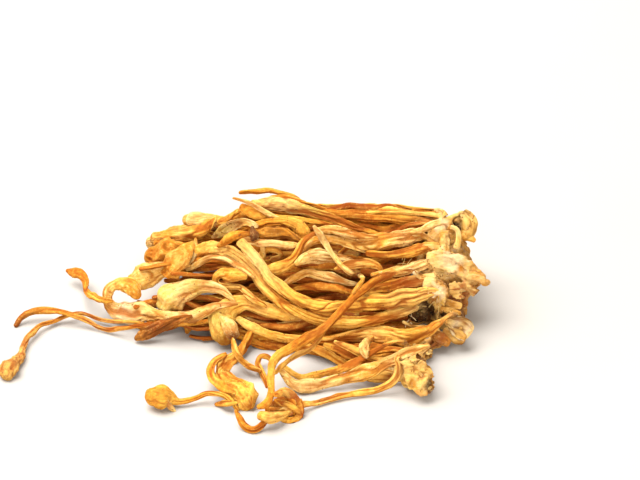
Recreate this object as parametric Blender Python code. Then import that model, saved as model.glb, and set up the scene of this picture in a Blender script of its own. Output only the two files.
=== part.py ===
"""Dried cordyceps: one cluster of furrowed, flattened stalks that spread from a cut, crusted butt.

The stalks are drawn on a sheet that leans back from the table. A route is a list of points
(across, up, width) on that sheet, in millimetres, from the root to the tip. The routes are laid
one over another in the order of the list, from the deepest to the nearest, so each stalk rests
on those that it crosses, or on the table.
"""

import math

import bmesh
import bpy
import numpy as np

MM = 0.001

# The sheets: their lean, and the faces of the heap that the stalks lie on.
SHEET_LEAN = math.radians(35)
FRONT_RISE_FROM = 15.2
FRONT_RISE = 0.675
FRONT_FULL_ACROSS = -12.0
FRONT_LOW_ACROSS = -46.0
FRONT_LOW_SHARE = 0.35
BACK_FOOT = 57.5
BACK_RISE = 0.85
ORIGIN = np.array((-15.14, 31.15, 0.0))

# Stalks.
SAMPLE_STEP = 0.5
GAP = 0.42
SETTLE_ROUNDS = 220
RING_STEP = 3.9
RING_TURN_WEIGHT = 0.95
RING_SIDES = 8
FLUTE_DEPTH = 0.09
LUMP_DEPTH = 0.05
TWIST_PER_MM = 0.035
WIDEST_PER_BEND_RADIUS = 1.7
CLUB_STARTS_AT = 0.6
CLUB_FULL_AT = 0.9
ROOT_CLEARANCE = 0.55
ROOT_BULGE = 0.3
TIP_RING_AT = 0.55
TIP_RING_SIZE = 0.72

# Butt.
BUTT_VOXEL = 0.75
BUTT_TRIANGLES = 950
BUTT_LUMP = 0.5
LOBE_MARGIN = 0.4

PALETTE = {
    "cream": (0.86, 0.66, 0.36),
    "pale": (0.84, 0.58, 0.25),
    "yellow": (0.83, 0.50, 0.13),
    "orange": (0.78, 0.36, 0.06),
    "deep": (0.55, 0.20, 0.03),
    "brown": (0.34, 0.13, 0.04),
    "butt": (0.70, 0.48, 0.22),
}


class Sheet:
    """A leaning sheet that routes are drawn on, seen square on."""

    def __init__(self, facing, foot, heap_height):
        self.up = np.array((0.0, -facing * math.sin(SHEET_LEAN), math.cos(SHEET_LEAN)))
        self.toward = np.array((0.0, facing * math.cos(SHEET_LEAN), math.sin(SHEET_LEAN)))
        self.foot = np.array((0.0, foot, 0.0)) - ORIGIN
        self.heap_height = heap_height

    def depth_at_height(self, up, height):
        """Depth toward the viewer at which a place on the sheet has the given height."""
        return (height - up * self.up[2]) / self.toward[2]

    def to_model(self, across, up, depth):
        """Sheet places in mm to model places in mm."""
        places = np.outer(up, self.up) + np.outer(depth, self.toward)
        places[:, 0] = across
        return places + self.foot

    def from_model(self, places):
        """Model places in mm to sheet places, as (across, up), and their depths."""
        local = places - self.foot
        return np.column_stack((local[:, 0], local @ self.up)), local @ self.toward


def front_height(across, up):
    """Height of the heap's front face, which is lower toward the clubs."""
    share = np.interp(across, (FRONT_LOW_ACROSS, FRONT_FULL_ACROSS), (FRONT_LOW_SHARE, 1.0))
    return FRONT_RISE * np.maximum(up - FRONT_RISE_FROM, 0.0) * share


def back_height(_, up):
    """Height of the heap's steep back face."""
    return BACK_RISE * up


FRONT = Sheet(-1.0, 0.0, front_height)
BACK = Sheet(1.0, BACK_FOOT, back_height)


# ---------------------------------------------------------------- routes

# name: (tone, thickness share of the stalk, thickness share of the tip, lift in mm, route)
FRONT_ROUTES = {
    "shaded_upper_stalk": ("deep", 0.7, 0.6, -1.5, (
        (24.8, 40.4, 1.6), (21.6, 40.6, 2.0), (18.4, 40.2, 2.0), (15.6, 39.4, 1.8),
        (12.0, 38.4, 1.6), (8.8, 37.6, 1.2))),
    "shaded_middle_stalk": ("deep", 0.6, 0.6, -3.0, (
        (22.4, 34.8, 1.8), (20.0, 34.2, 2.2), (16.0, 33.6, 2.6), (12.0, 33.0, 2.4),
        (8.4, 32.8, 2.0), (5.0, 32.8, 1.4))),
    "long_upper_stalk": ("orange", 0.6, 0.6, -0.5, (
        (15.6, 37.4, 1.0), (12.4, 38.2, 1.2), (9.6, 39.2, 1.4), (6.4, 40.4, 1.8),
        (3.0, 41.8, 2.0), (-0.4, 43.0, 2.2), (-3.6, 44.0, 2.4), (-6.4, 44.6, 2.8),
        (-9.0, 44.8, 3.2), (-11.6, 44.8, 2.4), (-13.6, 45.2, 1.2))),
    "ribbed_upper_stalk": ("orange", 0.5, 0.4, -0.8, (
        (13.0, 37.0, 1.0), (9.0, 38.2, 1.2), (5.0, 39.6, 1.2), (1.0, 40.8, 1.2),
        (-3.0, 41.6, 1.2), (-6.0, 42.0, 1.2), (-8.8, 42.0, 1.6), (-11.4, 42.4, 2.2),
        (-13.8, 43.2, 2.4), (-15.8, 44.4, 1.4))),
    "fine_upper_stalk": ("pale", 0.8, 0.8, 0.4, (
        (-7.8, 41.8, 0.7), (-10.0, 42.7, 0.9), (-12.0, 43.9, 1.0), (-14.0, 45.0, 1.0),
        (-16.0, 45.6, 0.8), (-17.4, 46.0, 0.6))),
    "elbow_stalk": ("orange", 0.7, 0.8, -0.3, (
        (-14.0, 40.4, 1.0), (-11.6, 41.0, 1.6), (-9.0, 41.2, 1.8), (-6.4, 41.2, 2.2),
        (-4.2, 40.4, 2.8), (-3.6, 39.0, 3.0), (-3.8, 37.8, 2.0))),
    "buff_club": ("brown", 0.6, 0.6, -0.8, (
        (-4.0, 37.6, 1.0), (-5.6, 38.4, 1.8), (-7.6, 39.0, 2.6), (-9.6, 39.0, 2.8),
        (-11.4, 39.0, 2.2), (-12.6, 39.2, 1.2))),
    "thick_crossing_stalk": ("cream", 0.7, 0.6, 0.4, (
        (21.2, 38.0, 1.4), (18.8, 38.4, 2.8), (16.0, 37.8, 3.2), (13.2, 37.2, 3.4),
        (10.4, 36.6, 3.6), (8.0, 36.6, 2.8), (5.6, 37.0, 2.2), (3.6, 37.4, 1.8),
        (1.6, 37.8, 1.8), (-0.4, 37.6, 1.8), (-2.2, 36.8, 1.6), (-3.4, 35.4, 1.2))),
    "under_crossing_stalk": ("orange", 0.7, 0.6, -1.5, (
        (22.8, 36.4, 1.8), (20.8, 36.0, 2.4), (18.0, 35.4, 2.4), (15.2, 34.8, 2.0),
        (12.4, 34.6, 1.8), (9.6, 34.8, 1.4))),
    "short_root_stalk": ("cream", 0.7, 0.7, 0.5, (
        (25.2, 41.4, 1.4), (23.6, 41.0, 1.6), (22.0, 40.2, 1.6), (20.2, 39.6, 1.2),
        (18.4, 39.2, 0.6))),
    "crusted_stalk": ("pale", 0.6, 0.6, 0.2, (
        (10.8, 38.2, 1.0), (8.4, 38.4, 1.8), (6.0, 39.0, 2.2), (3.2, 39.6, 1.8),
        (0.8, 39.8, 1.6), (-0.8, 39.6, 1.0))),
    "cream_crossbar": ("cream", 0.6, 0.6, 0.5, (
        (-15.4, 37.8, 1.4), (-13.6, 37.4, 1.8), (-11.6, 37.0, 2.0), (-9.6, 37.0, 1.8),
        (-7.4, 36.7, 1.8), (-5.6, 36.5, 1.6), (-4.4, 36.4, 1.0))),
    "broad_yellow_stalk": ("yellow", 0.45, 0.5, 0.6, (
        (-0.4, 39.4, 0.8), (-2.0, 38.6, 1.4), (-3.4, 37.2, 1.6), (-4.2, 35.6, 1.8),
        (-5.4, 33.8, 2.2), (-7.2, 32.6, 2.6), (-9.2, 31.8, 2.6), (-11.0, 31.4, 1.8))),
    "pale_ridged_stalk": ("cream", 0.45, 0.5, -0.4, (
        (6.4, 33.2, 1.6), (4.0, 33.8, 2.4), (1.4, 34.2, 3.0), (-1.4, 34.2, 3.0),
        (-3.4, 33.6, 2.2), (-4.8, 32.8, 1.0))),
    "right_curl_stalk": ("yellow", 0.5, 0.6, 0.2, (
        (3.6, 32.0, 1.0), (5.6, 32.7, 1.8), (7.8, 33.0, 2.0), (10.0, 32.9, 2.0),
        (11.8, 32.2, 1.4), (12.4, 31.2, 0.8))),
    "cream_arch_stalk": ("cream", 0.5, 0.5, -0.2, (
        (6.8, 28.8, 1.2), (4.4, 29.4, 1.8), (2.0, 30.2, 2.2), (-0.6, 30.8, 2.2),
        (-3.0, 31.0, 2.0), (-5.0, 30.2, 1.6), (-6.8, 29.0, 1.2), (-7.8, 28.2, 0.8))),
    "shaded_arch_stalk": ("orange", 0.5, 0.5, -2.0, (
        (7.2, 27.0, 1.2), (3.6, 27.8, 1.8), (0.4, 28.2, 2.0), (-2.4, 28.2, 1.8),
        (-4.8, 27.7, 1.4), (-6.4, 27.0, 1.0))),
    "crest_stalk": ("cream", 0.5, 0.5, 0.2, (
        (22.0, 33.2, 1.6), (20.0, 32.4, 2.4), (17.6, 31.6, 2.4), (15.0, 31.2, 2.2),
        (12.6, 31.0, 1.6), (10.4, 30.6, 1.0))),
    "stained_stalk": ("orange", 0.45, 0.5, -0.2, (
        (22.8, 30.0, 2.0), (20.0, 29.4, 3.0), (17.0, 28.8, 3.0), (14.0, 28.2, 2.8),
        (11.4, 27.6, 2.4), (9.2, 26.6, 1.8), (7.4, 25.4, 1.0))),
    "shaded_lower_stalk": ("deep", 0.5, 0.5, -2.5, (
        (16.4, 20.4, 1.6), (12.0, 20.0, 2.4), (8.0, 19.6, 2.4), (4.0, 19.6, 2.4),
        (0.0, 19.8, 2.6), (-4.0, 19.8, 2.8), (-7.0, 19.8, 2.8), (-10.0, 20.0, 2.4),
        (-12.8, 20.4, 1.8), (-15.2, 21.0, 1.2))),
    "bottom_stalk": ("deep", 0.6, 0.6, -1.2, (
        (6.4, 16.0, 1.2), (3.0, 16.0, 1.6), (-1.0, 16.0, 1.8), (-5.0, 16.0, 1.8),
        (-9.0, 16.4, 1.8), (-12.4, 17.0, 1.8), (-14.8, 17.6, 1.6), (-16.4, 18.2, 1.2))),
    "fine_pale_stalk": ("cream", 0.7, 0.6, -0.3, (
        (-4.0, 21.4, 1.0), (-6.4, 21.2, 1.2), (-9.0, 20.6, 1.2), (-11.6, 20.8, 1.2),
        (-13.8, 21.6, 1.2), (-15.4, 22.4, 1.0), (-16.6, 23.0, 0.8))),
    "bent_club_stalk": ("yellow", 0.5, 0.75, 0.3, (
        (-4.4, 22.2, 1.4), (-6.4, 22.4, 2.2), (-9.0, 23.2, 2.8), (-11.6, 24.0, 3.0),
        (-13.8, 24.8, 3.0), (-15.4, 25.0, 3.2), (-17.2, 24.4, 3.8), (-18.8, 23.0, 4.6),
        (-19.6, 21.2, 5.2), (-19.4, 19.4, 5.2), (-18.8, 18.0, 3.6))),
    "lower_great_stalk": ("yellow", 0.45, 0.6, 0.0, (
        (24.8, 22.0, 1.0), (23.4, 20.8, 1.8), (21.4, 19.4, 2.6), (18.8, 18.6, 3.4),
        (16.0, 18.4, 3.8), (13.0, 18.6, 3.6), (10.0, 18.6, 3.0), (7.0, 18.4, 2.4),
        (3.6, 18.0, 2.0), (0.0, 17.6, 2.0), (-3.6, 17.6, 2.0), (-7.0, 18.0, 2.0),
        (-10.0, 18.8, 2.0), (-12.6, 19.8, 1.8), (-14.8, 20.8, 1.6), (-16.4, 21.8, 1.2))),
    "middle_great_stalk": ("yellow", 0.55, 0.6, 0.5, (
        (18.8, 24.0, 1.4), (16.0, 23.0, 2.0), (13.0, 22.2, 2.4), (10.0, 21.6, 2.4),
        (7.0, 21.2, 2.6), (4.0, 21.2, 2.6), (0.4, 21.6, 2.6), (-3.0, 22.6, 2.6),
        (-6.0, 24.0, 2.6), (-8.6, 25.8, 2.4), (-10.8, 27.8, 2.4), (-12.2, 29.4, 2.2),
        (-13.2, 31.2, 2.2), (-14.6, 32.8, 2.2), (-16.6, 34.4, 2.4), (-19.0, 35.6, 2.6),
        (-21.6, 35.8, 2.6), (-23.4, 35.4, 3.6), (-25.0, 34.8, 4.4), (-26.6, 34.4, 5.6),
        (-28.6, 34.0, 7.2), (-30.8, 33.8, 8.0), (-32.8, 34.0, 6.8), (-34.2, 34.4, 4.0))),
    "upper_great_stalk": ("orange", 0.5, 0.55, 0.6, (
        (22.0, 27.0, 2.6), (19.0, 26.4, 3.4), (16.0, 25.8, 3.6), (13.0, 25.4, 3.8),
        (10.0, 25.2, 3.8), (7.0, 24.6, 3.0), (4.0, 24.2, 2.6), (0.4, 24.2, 2.6),
        (-3.6, 25.6, 2.6), (-6.4, 27.2, 2.6), (-8.6, 28.8, 2.6), (-10.4, 30.6, 2.4),
        (-11.8, 32.4, 2.4), (-13.2, 34.0, 2.2), (-14.6, 35.6, 2.2), (-16.0, 37.0, 2.0))),
    "side_strand": ("pale", 0.6, 0.6, 0.7, (
        (-13.8, 30.6, 1.2), (-15.4, 31.7, 1.6), (-17.4, 32.8, 1.6), (-19.4, 33.9, 1.6),
        (-21.8, 34.1, 1.6), (-23.8, 33.3, 1.6), (-25.6, 32.3, 1.4), (-26.8, 31.6, 0.8))),
    "rolled_club_stalk": ("yellow", 0.6, 0.8, -0.2, (
        (-11.6, 24.8, 1.2), (-13.2, 25.8, 1.6), (-14.4, 27.0, 1.6), (-15.8, 28.0, 1.4),
        (-17.6, 28.2, 1.4), (-19.2, 28.2, 1.4), (-20.5, 28.6, 1.2), (-21.0, 29.7, 1.3),
        (-20.2, 30.7, 1.8), (-18.6, 30.9, 2.5), (-16.6, 30.6, 2.5), (-15.2, 30.2, 1.6))),
    "pale_side_club": ("cream", 0.5, 0.7, -2.0, (
        (-27.2, 32.4, 1.4), (-30.0, 32.0, 2.2), (-32.8, 31.4, 4.0), (-34.8, 30.6, 5.4),
        (-36.2, 29.8, 5.2), (-37.6, 29.4, 3.2))),
    "swollen_pale_club": ("cream", 0.5, 0.65, 0.3, (
        (-17.4, 25.6, 1.0), (-18.2, 26.6, 1.4), (-19.4, 27.6, 2.0), (-21.4, 28.2, 2.8),
        (-23.8, 28.3, 3.2), (-26.2, 27.8, 3.8), (-28.4, 26.8, 4.8), (-30.2, 25.4, 5.2),
        (-31.2, 24.2, 3.6))),
    "hooked_club_stalk": ("pale", 0.4, 0.6, 0.3, (
        (-17.2, 24.8, 1.0), (-19.0, 24.8, 1.4), (-21.2, 24.2, 1.8), (-23.2, 23.2, 2.4),
        (-25.4, 22.2, 2.6), (-28.0, 21.9, 2.6), (-30.4, 22.2, 2.2), (-32.4, 22.6, 2.2),
        (-34.2, 22.8, 3.2), (-36.2, 23.0, 4.6), (-38.6, 22.8, 4.2), (-40.6, 23.2, 3.6),
        (-42.2, 24.4, 2.6), (-43.0, 26.0, 2.0), (-42.6, 27.6, 2.0), (-41.2, 28.5, 2.2),
        (-39.4, 28.4, 2.8), (-37.8, 27.6, 3.6), (-36.8, 26.4, 2.2))),
    "stub_club": ("brown", 0.8, 0.8, -2.0, (
        (-26.8, 22.0, 1.6), (-29.6, 21.2, 2.2), (-32.0, 20.2, 2.6), (-34.2, 19.2, 2.8),
        (-35.8, 18.4, 2.6), (-36.6, 18.0, 1.6))),
    "orange_side_club": ("orange", 0.7, 0.6, -3.0, (
        (-42.8, 25.4, 1.2), (-44.8, 25.8, 1.6), (-46.2, 26.4, 1.6), (-47.4, 27.8, 1.6),
        (-47.6, 29.4, 1.8), (-48.8, 30.6, 2.2), (-50.4, 31.0, 2.0), (-51.6, 31.4, 0.8))),
    "low_diagonal_stalk": ("yellow", 0.6, 0.6, -1.0, (
        (6.8, 12.0, 1.6), (4.0, 13.4, 1.8), (1.6, 14.6, 1.8), (-0.8, 15.8, 1.8),
        (-3.0, 16.4, 1.4), (-4.8, 16.8, 0.8))),
    "mid_diagonal_stalk": ("orange", 0.6, 0.6, -1.0, (
        (10.8, 12.4, 1.4), (8.0, 13.6, 1.8), (5.6, 14.8, 2.0), (3.2, 16.0, 1.8),
        (1.0, 16.8, 1.0))),
    "high_diagonal_stalk": ("orange", 0.6, 0.6, -0.8, (
        (11.6, 14.0, 1.2), (9.2, 14.6, 1.6), (6.8, 15.8, 1.6), (4.6, 16.8, 1.4),
        (3.0, 17.4, 0.8))),
    "lobe_flat_stalk": ("yellow", 0.4, 0.5, 0.0, (
        (16.8, 10.2, 1.6), (14.4, 10.4, 2.8), (12.0, 10.6, 3.4), (10.0, 10.6, 3.0),
        (8.2, 11.4, 2.0), (6.6, 12.2, 1.0))),
    "upper_low_stalk": ("yellow", 0.5, 0.5, 0.3, (
        (14.8, 17.4, 0.8), (12.4, 16.6, 1.2), (10.4, 15.4, 1.4), (8.4, 14.2, 1.6),
        (6.0, 12.8, 1.8), (3.6, 11.8, 1.8), (1.0, 11.2, 1.8), (-1.4, 10.6, 1.8),
        (-3.4, 10.4, 1.4), (-5.4, 11.2, 1.2), (-6.8, 12.2, 1.2), (-7.6, 13.0, 0.8))),
    "great_low_stalk": ("pale", 0.45, 0.5, 0.3, (
        (20.8, 16.6, 1.2), (19.2, 16.0, 1.8), (17.0, 15.2, 2.4), (14.4, 14.0, 2.8),
        (11.6, 12.6, 3.2), (8.8, 11.4, 3.2), (6.0, 10.4, 2.6), (3.2, 9.8, 2.4),
        (0.4, 9.2, 2.4), (-2.0, 8.8, 2.8), (-3.8, 8.6, 3.0), (-5.4, 9.2, 2.4),
        (-6.8, 10.6, 1.6), (-7.8, 11.8, 1.0))),
    "thin_sweeping_stalk": ("yellow", 0.6, 0.6, 0.2, (
        (15.0, 14.2, 1.2), (15.6, 12.8, 1.6), (15.2, 11.0, 1.6), (14.0, 9.4, 1.6),
        (12.0, 8.2, 1.6), (9.2, 7.6, 1.4), (6.0, 7.2, 1.4), (3.2, 6.8, 1.4),
        (0.8, 6.0, 1.2), (-1.6, 5.4, 1.2), (-3.4, 5.2, 1.4), (-4.8, 4.6, 2.4),
        (-6.4, 4.6, 3.2), (-8.2, 4.8, 3.2), (-9.8, 4.0, 2.0))),
    "looped_stalk": ("orange", 0.7, 0.7, 0.0, (
        (-9.4, 13.6, 0.8), (-10.6, 14.4, 1.2), (-11.8, 14.4, 1.2), (-12.4, 13.2, 1.3),
        (-11.8, 11.6, 1.4), (-11.0, 10.0, 1.2), (-10.6, 8.6, 0.8))),
    "underhung_stalk": ("orange", 0.7, 0.7, 0.0, (
        (-17.2, 17.2, 1.2), (-16.8, 15.8, 1.4), (-16.0, 14.2, 1.4), (-14.6, 13.0, 1.4),
        (-13.2, 12.2, 1.0))),
    "crumpled_club": ("yellow", 0.45, 0.6, 0.0, (
        (-15.4, 16.6, 1.4), (-16.0, 15.4, 2.0), (-17.0, 14.2, 2.4), (-18.6, 13.0, 3.2),
        (-19.8, 11.6, 4.2), (-18.8, 9.8, 4.6), (-16.6, 8.4, 4.8), (-14.8, 6.8, 5.0),
        (-13.8, 5.4, 3.4))),
    "round_club_stalk": ("orange", 0.8, 0.75, 0.0, (
        (-16.4, 4.6, 0.8), (-17.4, 6.0, 1.2), (-18.8, 7.0, 1.2), (-20.6, 7.4, 1.2),
        (-22.6, 7.4, 1.3), (-24.4, 6.6, 1.3), (-26.2, 6.0, 1.4), (-28.0, 5.8, 1.6),
        (-29.4, 6.4, 3.0), (-31.2, 6.8, 4.8), (-32.8, 6.8, 4.0))),
    "floor_loop_stalk": ("orange", 0.8, 0.8, 0.0, (
        (-10.4, 5.0, 1.0), (-10.2, 3.2, 1.4), (-11.2, 1.6, 1.6), (-13.0, 0.8, 1.6),
        (-14.6, 1.4, 1.6), (-15.8, 3.0, 1.4), (-16.4, 4.2, 0.8))),
    "forked_side_stalk": ("yellow", 0.7, 0.7, 0.8, (
        (0.4, 18.8, 1.0), (-0.4, 17.8, 1.2), (-1.4, 16.6, 1.2), (-2.8, 15.6, 1.2),
        (-4.6, 14.8, 1.3), (-6.4, 13.6, 1.2), (-7.8, 12.6, 1.2), (-8.8, 11.4, 0.8))),
    "long_ribbon_stalk": ("orange", 0.5, 0.6, 0.6, (
        (15.6, 31.2, 0.8), (14.0, 30.6, 1.6), (12.0, 29.8, 1.8), (9.6, 28.4, 1.8),
        (7.4, 26.6, 1.8), (5.2, 24.4, 1.8), (3.0, 22.2, 1.9), (0.8, 20.2, 2.2),
        (-1.6, 18.6, 2.4), (-4.0, 17.2, 2.2), (-6.2, 16.0, 2.0), (-8.2, 14.6, 1.8),
        (-9.4, 12.8, 1.8), (-9.8, 10.6, 1.6), (-9.6, 8.4, 1.6), (-9.8, 6.6, 1.8),
        (-10.8, 5.4, 1.6), (-12.0, 5.0, 1.0))),
    "far_lower_stalk": ("orange", 0.9, 0.8, -3.0, (
        (-36.0, 21.0, 0.8), (-39.0, 21.1, 0.8), (-42.0, 21.2, 0.9), (-44.6, 21.6, 0.9),
        (-46.8, 22.4, 0.9), (-48.6, 22.9, 0.9), (-50.0, 22.7, 0.9), (-51.8, 22.0, 0.9),
        (-54.0, 21.0, 1.0), (-56.0, 20.4, 1.1), (-57.4, 19.4, 1.2), (-58.6, 18.0, 1.2),
        (-59.2, 16.2, 1.4), (-59.6, 14.6, 1.6), (-60.6, 13.2, 2.8), (-61.6, 12.0, 3.8),
        (-62.2, 11.0, 2.8))),
    "far_upper_stalk": ("orange", 0.8, 0.8, -1.0, (
        (-34.0, 21.0, 0.8), (-37.0, 20.4, 1.0), (-40.0, 19.8, 1.1), (-42.4, 19.6, 1.2),
        (-44.6, 20.2, 1.2), (-46.8, 21.4, 1.3), (-49.0, 22.3, 1.2), (-51.2, 22.9, 1.2),
        (-53.6, 23.3, 1.4), (-56.0, 23.4, 1.6), (-58.2, 23.0, 1.6), (-60.0, 22.0, 1.4),
        (-61.2, 20.4, 1.0))),
}

# The same for the stalks of the back face, on the sheet that faces back.
BACK_ROUTES = {
    "back_slanting_stalk": ("deep", 0.7, 0.8, -5.2, (
        (24.0, 9.0, 2.0), (15.0, 9.6, 2.2), (8.0, 11.2, 2.2), (1.0, 12.4, 2.2), (-6.0, 12.0, 2.0),
        (-13.0, 10.8, 2.0), (-19.0, 10.2, 2.2), (-24.0, 9.4, 3.0), (-27.0, 9.0, 2.2))),
    "back_low_crossing_stalk": ("orange", 0.7, 0.75, -8.8, (
        (24.0, 14.4, 2.2), (17.0, 15.2, 2.4), (10.0, 16.2, 2.4), (4.0, 16.0, 2.2), (-2.0, 15.2, 2.2),
        (-8.0, 15.0, 2.4), (-13.0, 15.6, 3.0), (-16.0, 16.0, 2.2))),
    "back_upper_stalk": ("orange", 0.6, 0.7, 0.0, (
        (24.0, 14.6, 2.6), (13.0, 15.2, 3.0), (6.0, 14.8, 2.8), (0.0, 15.4, 2.6), (-7.0, 15.6, 2.4),
        (-14.0, 14.4, 2.2), (-20.0, 13.0, 2.6), (-25.0, 12.0, 4.2), (-28.0, 11.6, 3.4))),
    "back_middle_stalk": ("yellow", 0.6, 0.75, 0.0, (
        (24.0, 11.4, 2.8), (12.0, 11.6, 3.0), (4.0, 12.0, 3.0), (-4.0, 11.4, 2.6), (-12.0, 11.0, 2.4),
        (-20.0, 9.8, 2.6), (-27.0, 8.6, 4.0), (-31.0, 8.0, 4.6), (-33.4, 7.6, 3.2))),
    "back_lower_stalk": ("orange", 0.6, 0.7, 0.0, (
        (24.0, 7.2, 2.8), (12.0, 8.0, 3.0), (4.0, 7.6, 2.8), (-4.0, 8.2, 2.6), (-12.0, 7.4, 2.4),
        (-19.0, 6.2, 2.8), (-24.0, 5.4, 3.8), (-27.0, 5.0, 2.8))),
    "back_foot_stalk": ("pale", 0.7, 0.75, 0.0, (
        (24.0, 2.6, 2.6), (12.0, 3.2, 2.8), (4.0, 3.8, 2.6), (-4.0, 3.0, 2.4), (-12.0, 2.4, 2.4),
        (-20.0, 2.6, 2.6), (-28.0, 2.2, 3.8), (-32.0, 2.0, 4.4), (-34.6, 1.8, 3.0))),
    "back_crest_stalk": ("yellow", 0.6, 0.7, 0.0, (
        (24.0, 17.2, 2.2), (14.0, 18.0, 2.6), (8.0, 17.2, 2.4), (2.0, 17.6, 2.2), (-5.0, 18.4, 2.0),
        (-11.0, 17.8, 2.2), (-17.0, 16.8, 3.2), (-20.0, 16.2, 2.4))),
    "back_crossing_stalk": ("orange", 0.7, 0.7, 0.0, (
        (24.0, 9.4, 1.8), (14.0, 10.6, 2.0), (8.0, 12.6, 2.0), (2.0, 14.2, 1.8), (-4.0, 16.2, 1.8),
        (-9.0, 17.8, 1.6), (-13.0, 18.8, 1.8), (-16.0, 19.2, 1.2))),
    "back_bowed_stalk": ("pale", 0.65, 0.75, 0.0, (
        (24.0, 12.8, 2.0), (15.0, 13.4, 2.2), (9.0, 11.8, 2.2), (3.0, 9.6, 2.0), (-3.0, 8.4, 1.8),
        (-9.0, 8.8, 1.8), (-14.0, 10.2, 1.8), (-19.0, 12.0, 2.4), (-23.0, 13.4, 4.0), (-26.0, 14.0, 3.2))),
    "back_sagging_stalk": ("yellow", 0.65, 0.75, 0.0, (
        (24.0, 16.0, 1.8), (16.0, 15.4, 2.0), (10.0, 16.6, 2.0), (4.0, 16.0, 1.8), (-2.0, 13.8, 1.8),
        (-8.0, 12.8, 1.8), (-14.0, 12.4, 1.6), (-19.0, 10.8, 2.0), (-24.0, 9.4, 3.4), (-27.0, 8.8, 2.8))),
}

# Lobes of the butt on the front sheet: (across, up, lift, half width, half height, half depth).
FRONT_LOBES = {
    "crown": (28.0, 40.0, -0.6, 2.8, 3.0, 2.8),
    "neck": (25.4, 36.4, -0.6, 1.9, 2.4, 2.2),
    "upper_skin": (26.0, 32.2, -0.8, 4.0, 2.8, 3.0),
    "right_knob": (30.8, 29.6, -0.8, 2.4, 1.8, 2.2),
    "left_ridge": (22.6, 30.8, -1.0, 3.2, 2.2, 2.4),
    "white_lump": (23.6, 26.8, -0.6, 2.0, 2.8, 2.4),
    "right_lower_knob": (28.6, 27.6, -1.2, 2.6, 1.8, 2.2),
    "core": (24.6, 24.6, -1.6, 3.4, 3.6, 3.6),
    "dark_pocket": (21.4, 22.6, -1.2, 2.4, 2.2, 2.4),
    "fan": (27.4, 19.6, 0.0, 2.2, 2.4, 1.8),
    "lower_knob": (23.4, 17.6, 0.0, 1.9, 2.0, 2.6),
    "low_bridge": (20.8, 15.6, 1.2, 2.0, 2.0, 2.8),
    "link": (19.2, 13.4, 2.0, 2.0, 2.2, 3.4),
    "lower_lobe": (18.9, 11.0, 3.0, 3.1, 3.1, 3.2),
    "cut_end": (20.9, 8.9, 2.0, 1.7, 1.6, 1.8),
}

# Lobes behind them: (across, back, height, radius).
BACK_LOBES = (
    (25.0, 37.0, 3.4, 4.6), (24.5, 43.0, 5.0, 5.4), (25.5, 45.5, 9.5, 5.0), (25.0, 49.0, 5.6, 5.2),
    (25.5, 47.5, 13.0, 4.0), (25.0, 51.0, 9.0, 4.4), (25.0, 53.0, 4.0, 4.2),
)

# Stalks whose root lies in front of the butt.
OVER_BUTT = ("lower_great_stalk", "great_low_stalk", "middle_great_stalk")


# ---------------------------------------------------------------- laying the stalks

class Stalk:
    """A stalk laid on a sheet, sampled from root to tip."""

    def __init__(self, name, tone, sheet, places, depth, half_width, half_thick):
        self.name = name
        self.tone = tone
        self.sheet = sheet
        self.places = places
        self.depth = depth
        self.half_width = half_width
        self.half_thick = half_thick

    def centres(self):
        return self.sheet.to_model(*self.places.T, self.depth)

    def seen_on(self, sheet):
        """The stalk as another sheet sees it, as round as it is wide."""
        if sheet is self.sheet:
            return self
        places, depth = sheet.from_model(self.centres())
        return Stalk(self.name, self.tone, sheet, places, depth, self.half_width, self.half_width)

    def without_start(self, first):
        return Stalk(self.name, self.tone, self.sheet, self.places[first:], self.depth[first:],
                     self.half_width[first:], self.half_thick[first:])


def smooth_through(points, step):
    """Rows sampled every step along a smooth curve through the points' first two columns."""
    points = np.asarray(points, float)
    knots = np.concatenate(((0.0,), np.cumsum(np.linalg.norm(np.diff(points[:, :2], axis=0), axis=1))))
    slopes = np.gradient(points, knots, axis=0)
    fine = np.linspace(0.0, knots[-1], max(int(knots[-1] / (0.25 * step)), 8))
    span = np.clip(np.searchsorted(knots, fine, side="right") - 1, 0, len(knots) - 2)
    length = (knots[span + 1] - knots[span])[:, None]
    t = (fine - knots[span])[:, None] / length
    rows = ((2 * t ** 3 - 3 * t ** 2 + 1) * points[span]
            + (t ** 3 - 2 * t ** 2 + t) * length * slopes[span]
            + (3 * t ** 2 - 2 * t ** 3) * points[span + 1]
            + (t ** 3 - t ** 2) * length * slopes[span + 1])
    run = np.concatenate(((0.0,), np.cumsum(np.linalg.norm(np.diff(rows[:, :2], axis=0), axis=1))))
    count = max(int(round(run[-1] / step)), 4) + 1
    even = np.linspace(0.0, run[-1], count)
    return np.column_stack([np.interp(even, run, column) for column in rows.T])


def bend_radius(places):
    """Radius in mm of the route's bend on the sheet, at each sample."""
    first = np.gradient(places, axis=0)
    second = np.gradient(first, axis=0)
    turn = np.abs(first[:, 0] * second[:, 1] - first[:, 1] * second[:, 0])
    return np.linalg.norm(first, axis=1) ** 3 / np.maximum(turn, 1e-6)


def least_over_table(sheet, places, half_width, half_thick):
    """Depth below which a flattened stalk would go through the table."""
    run = np.gradient(places, axis=0)
    level = np.abs(run[:, 0]) / np.linalg.norm(run, axis=1)
    reach = np.hypot(half_width * level * sheet.up[2], half_thick * sheet.toward[2])
    return sheet.depth_at_height(places[:, 1], reach * (1.0 + FLUTE_DEPTH + LUMP_DEPTH))


def least_over_stalk(laid, places, half_width, half_thick):
    """Depth that clears one laid stalk, or minus infinity where it is out of reach."""
    apart = np.linalg.norm(places[:, None] - laid.places[None], axis=2)
    reach = half_width[:, None] + laid.half_width[None] + GAP
    stack = half_thick[:, None] + laid.half_thick[None] + GAP
    rise = stack * np.sqrt(np.maximum(1.0 - (apart / reach) ** 2, 0.0))
    return np.where(apart < reach, laid.depth[None] + rise, -np.inf).max(axis=1)


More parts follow.
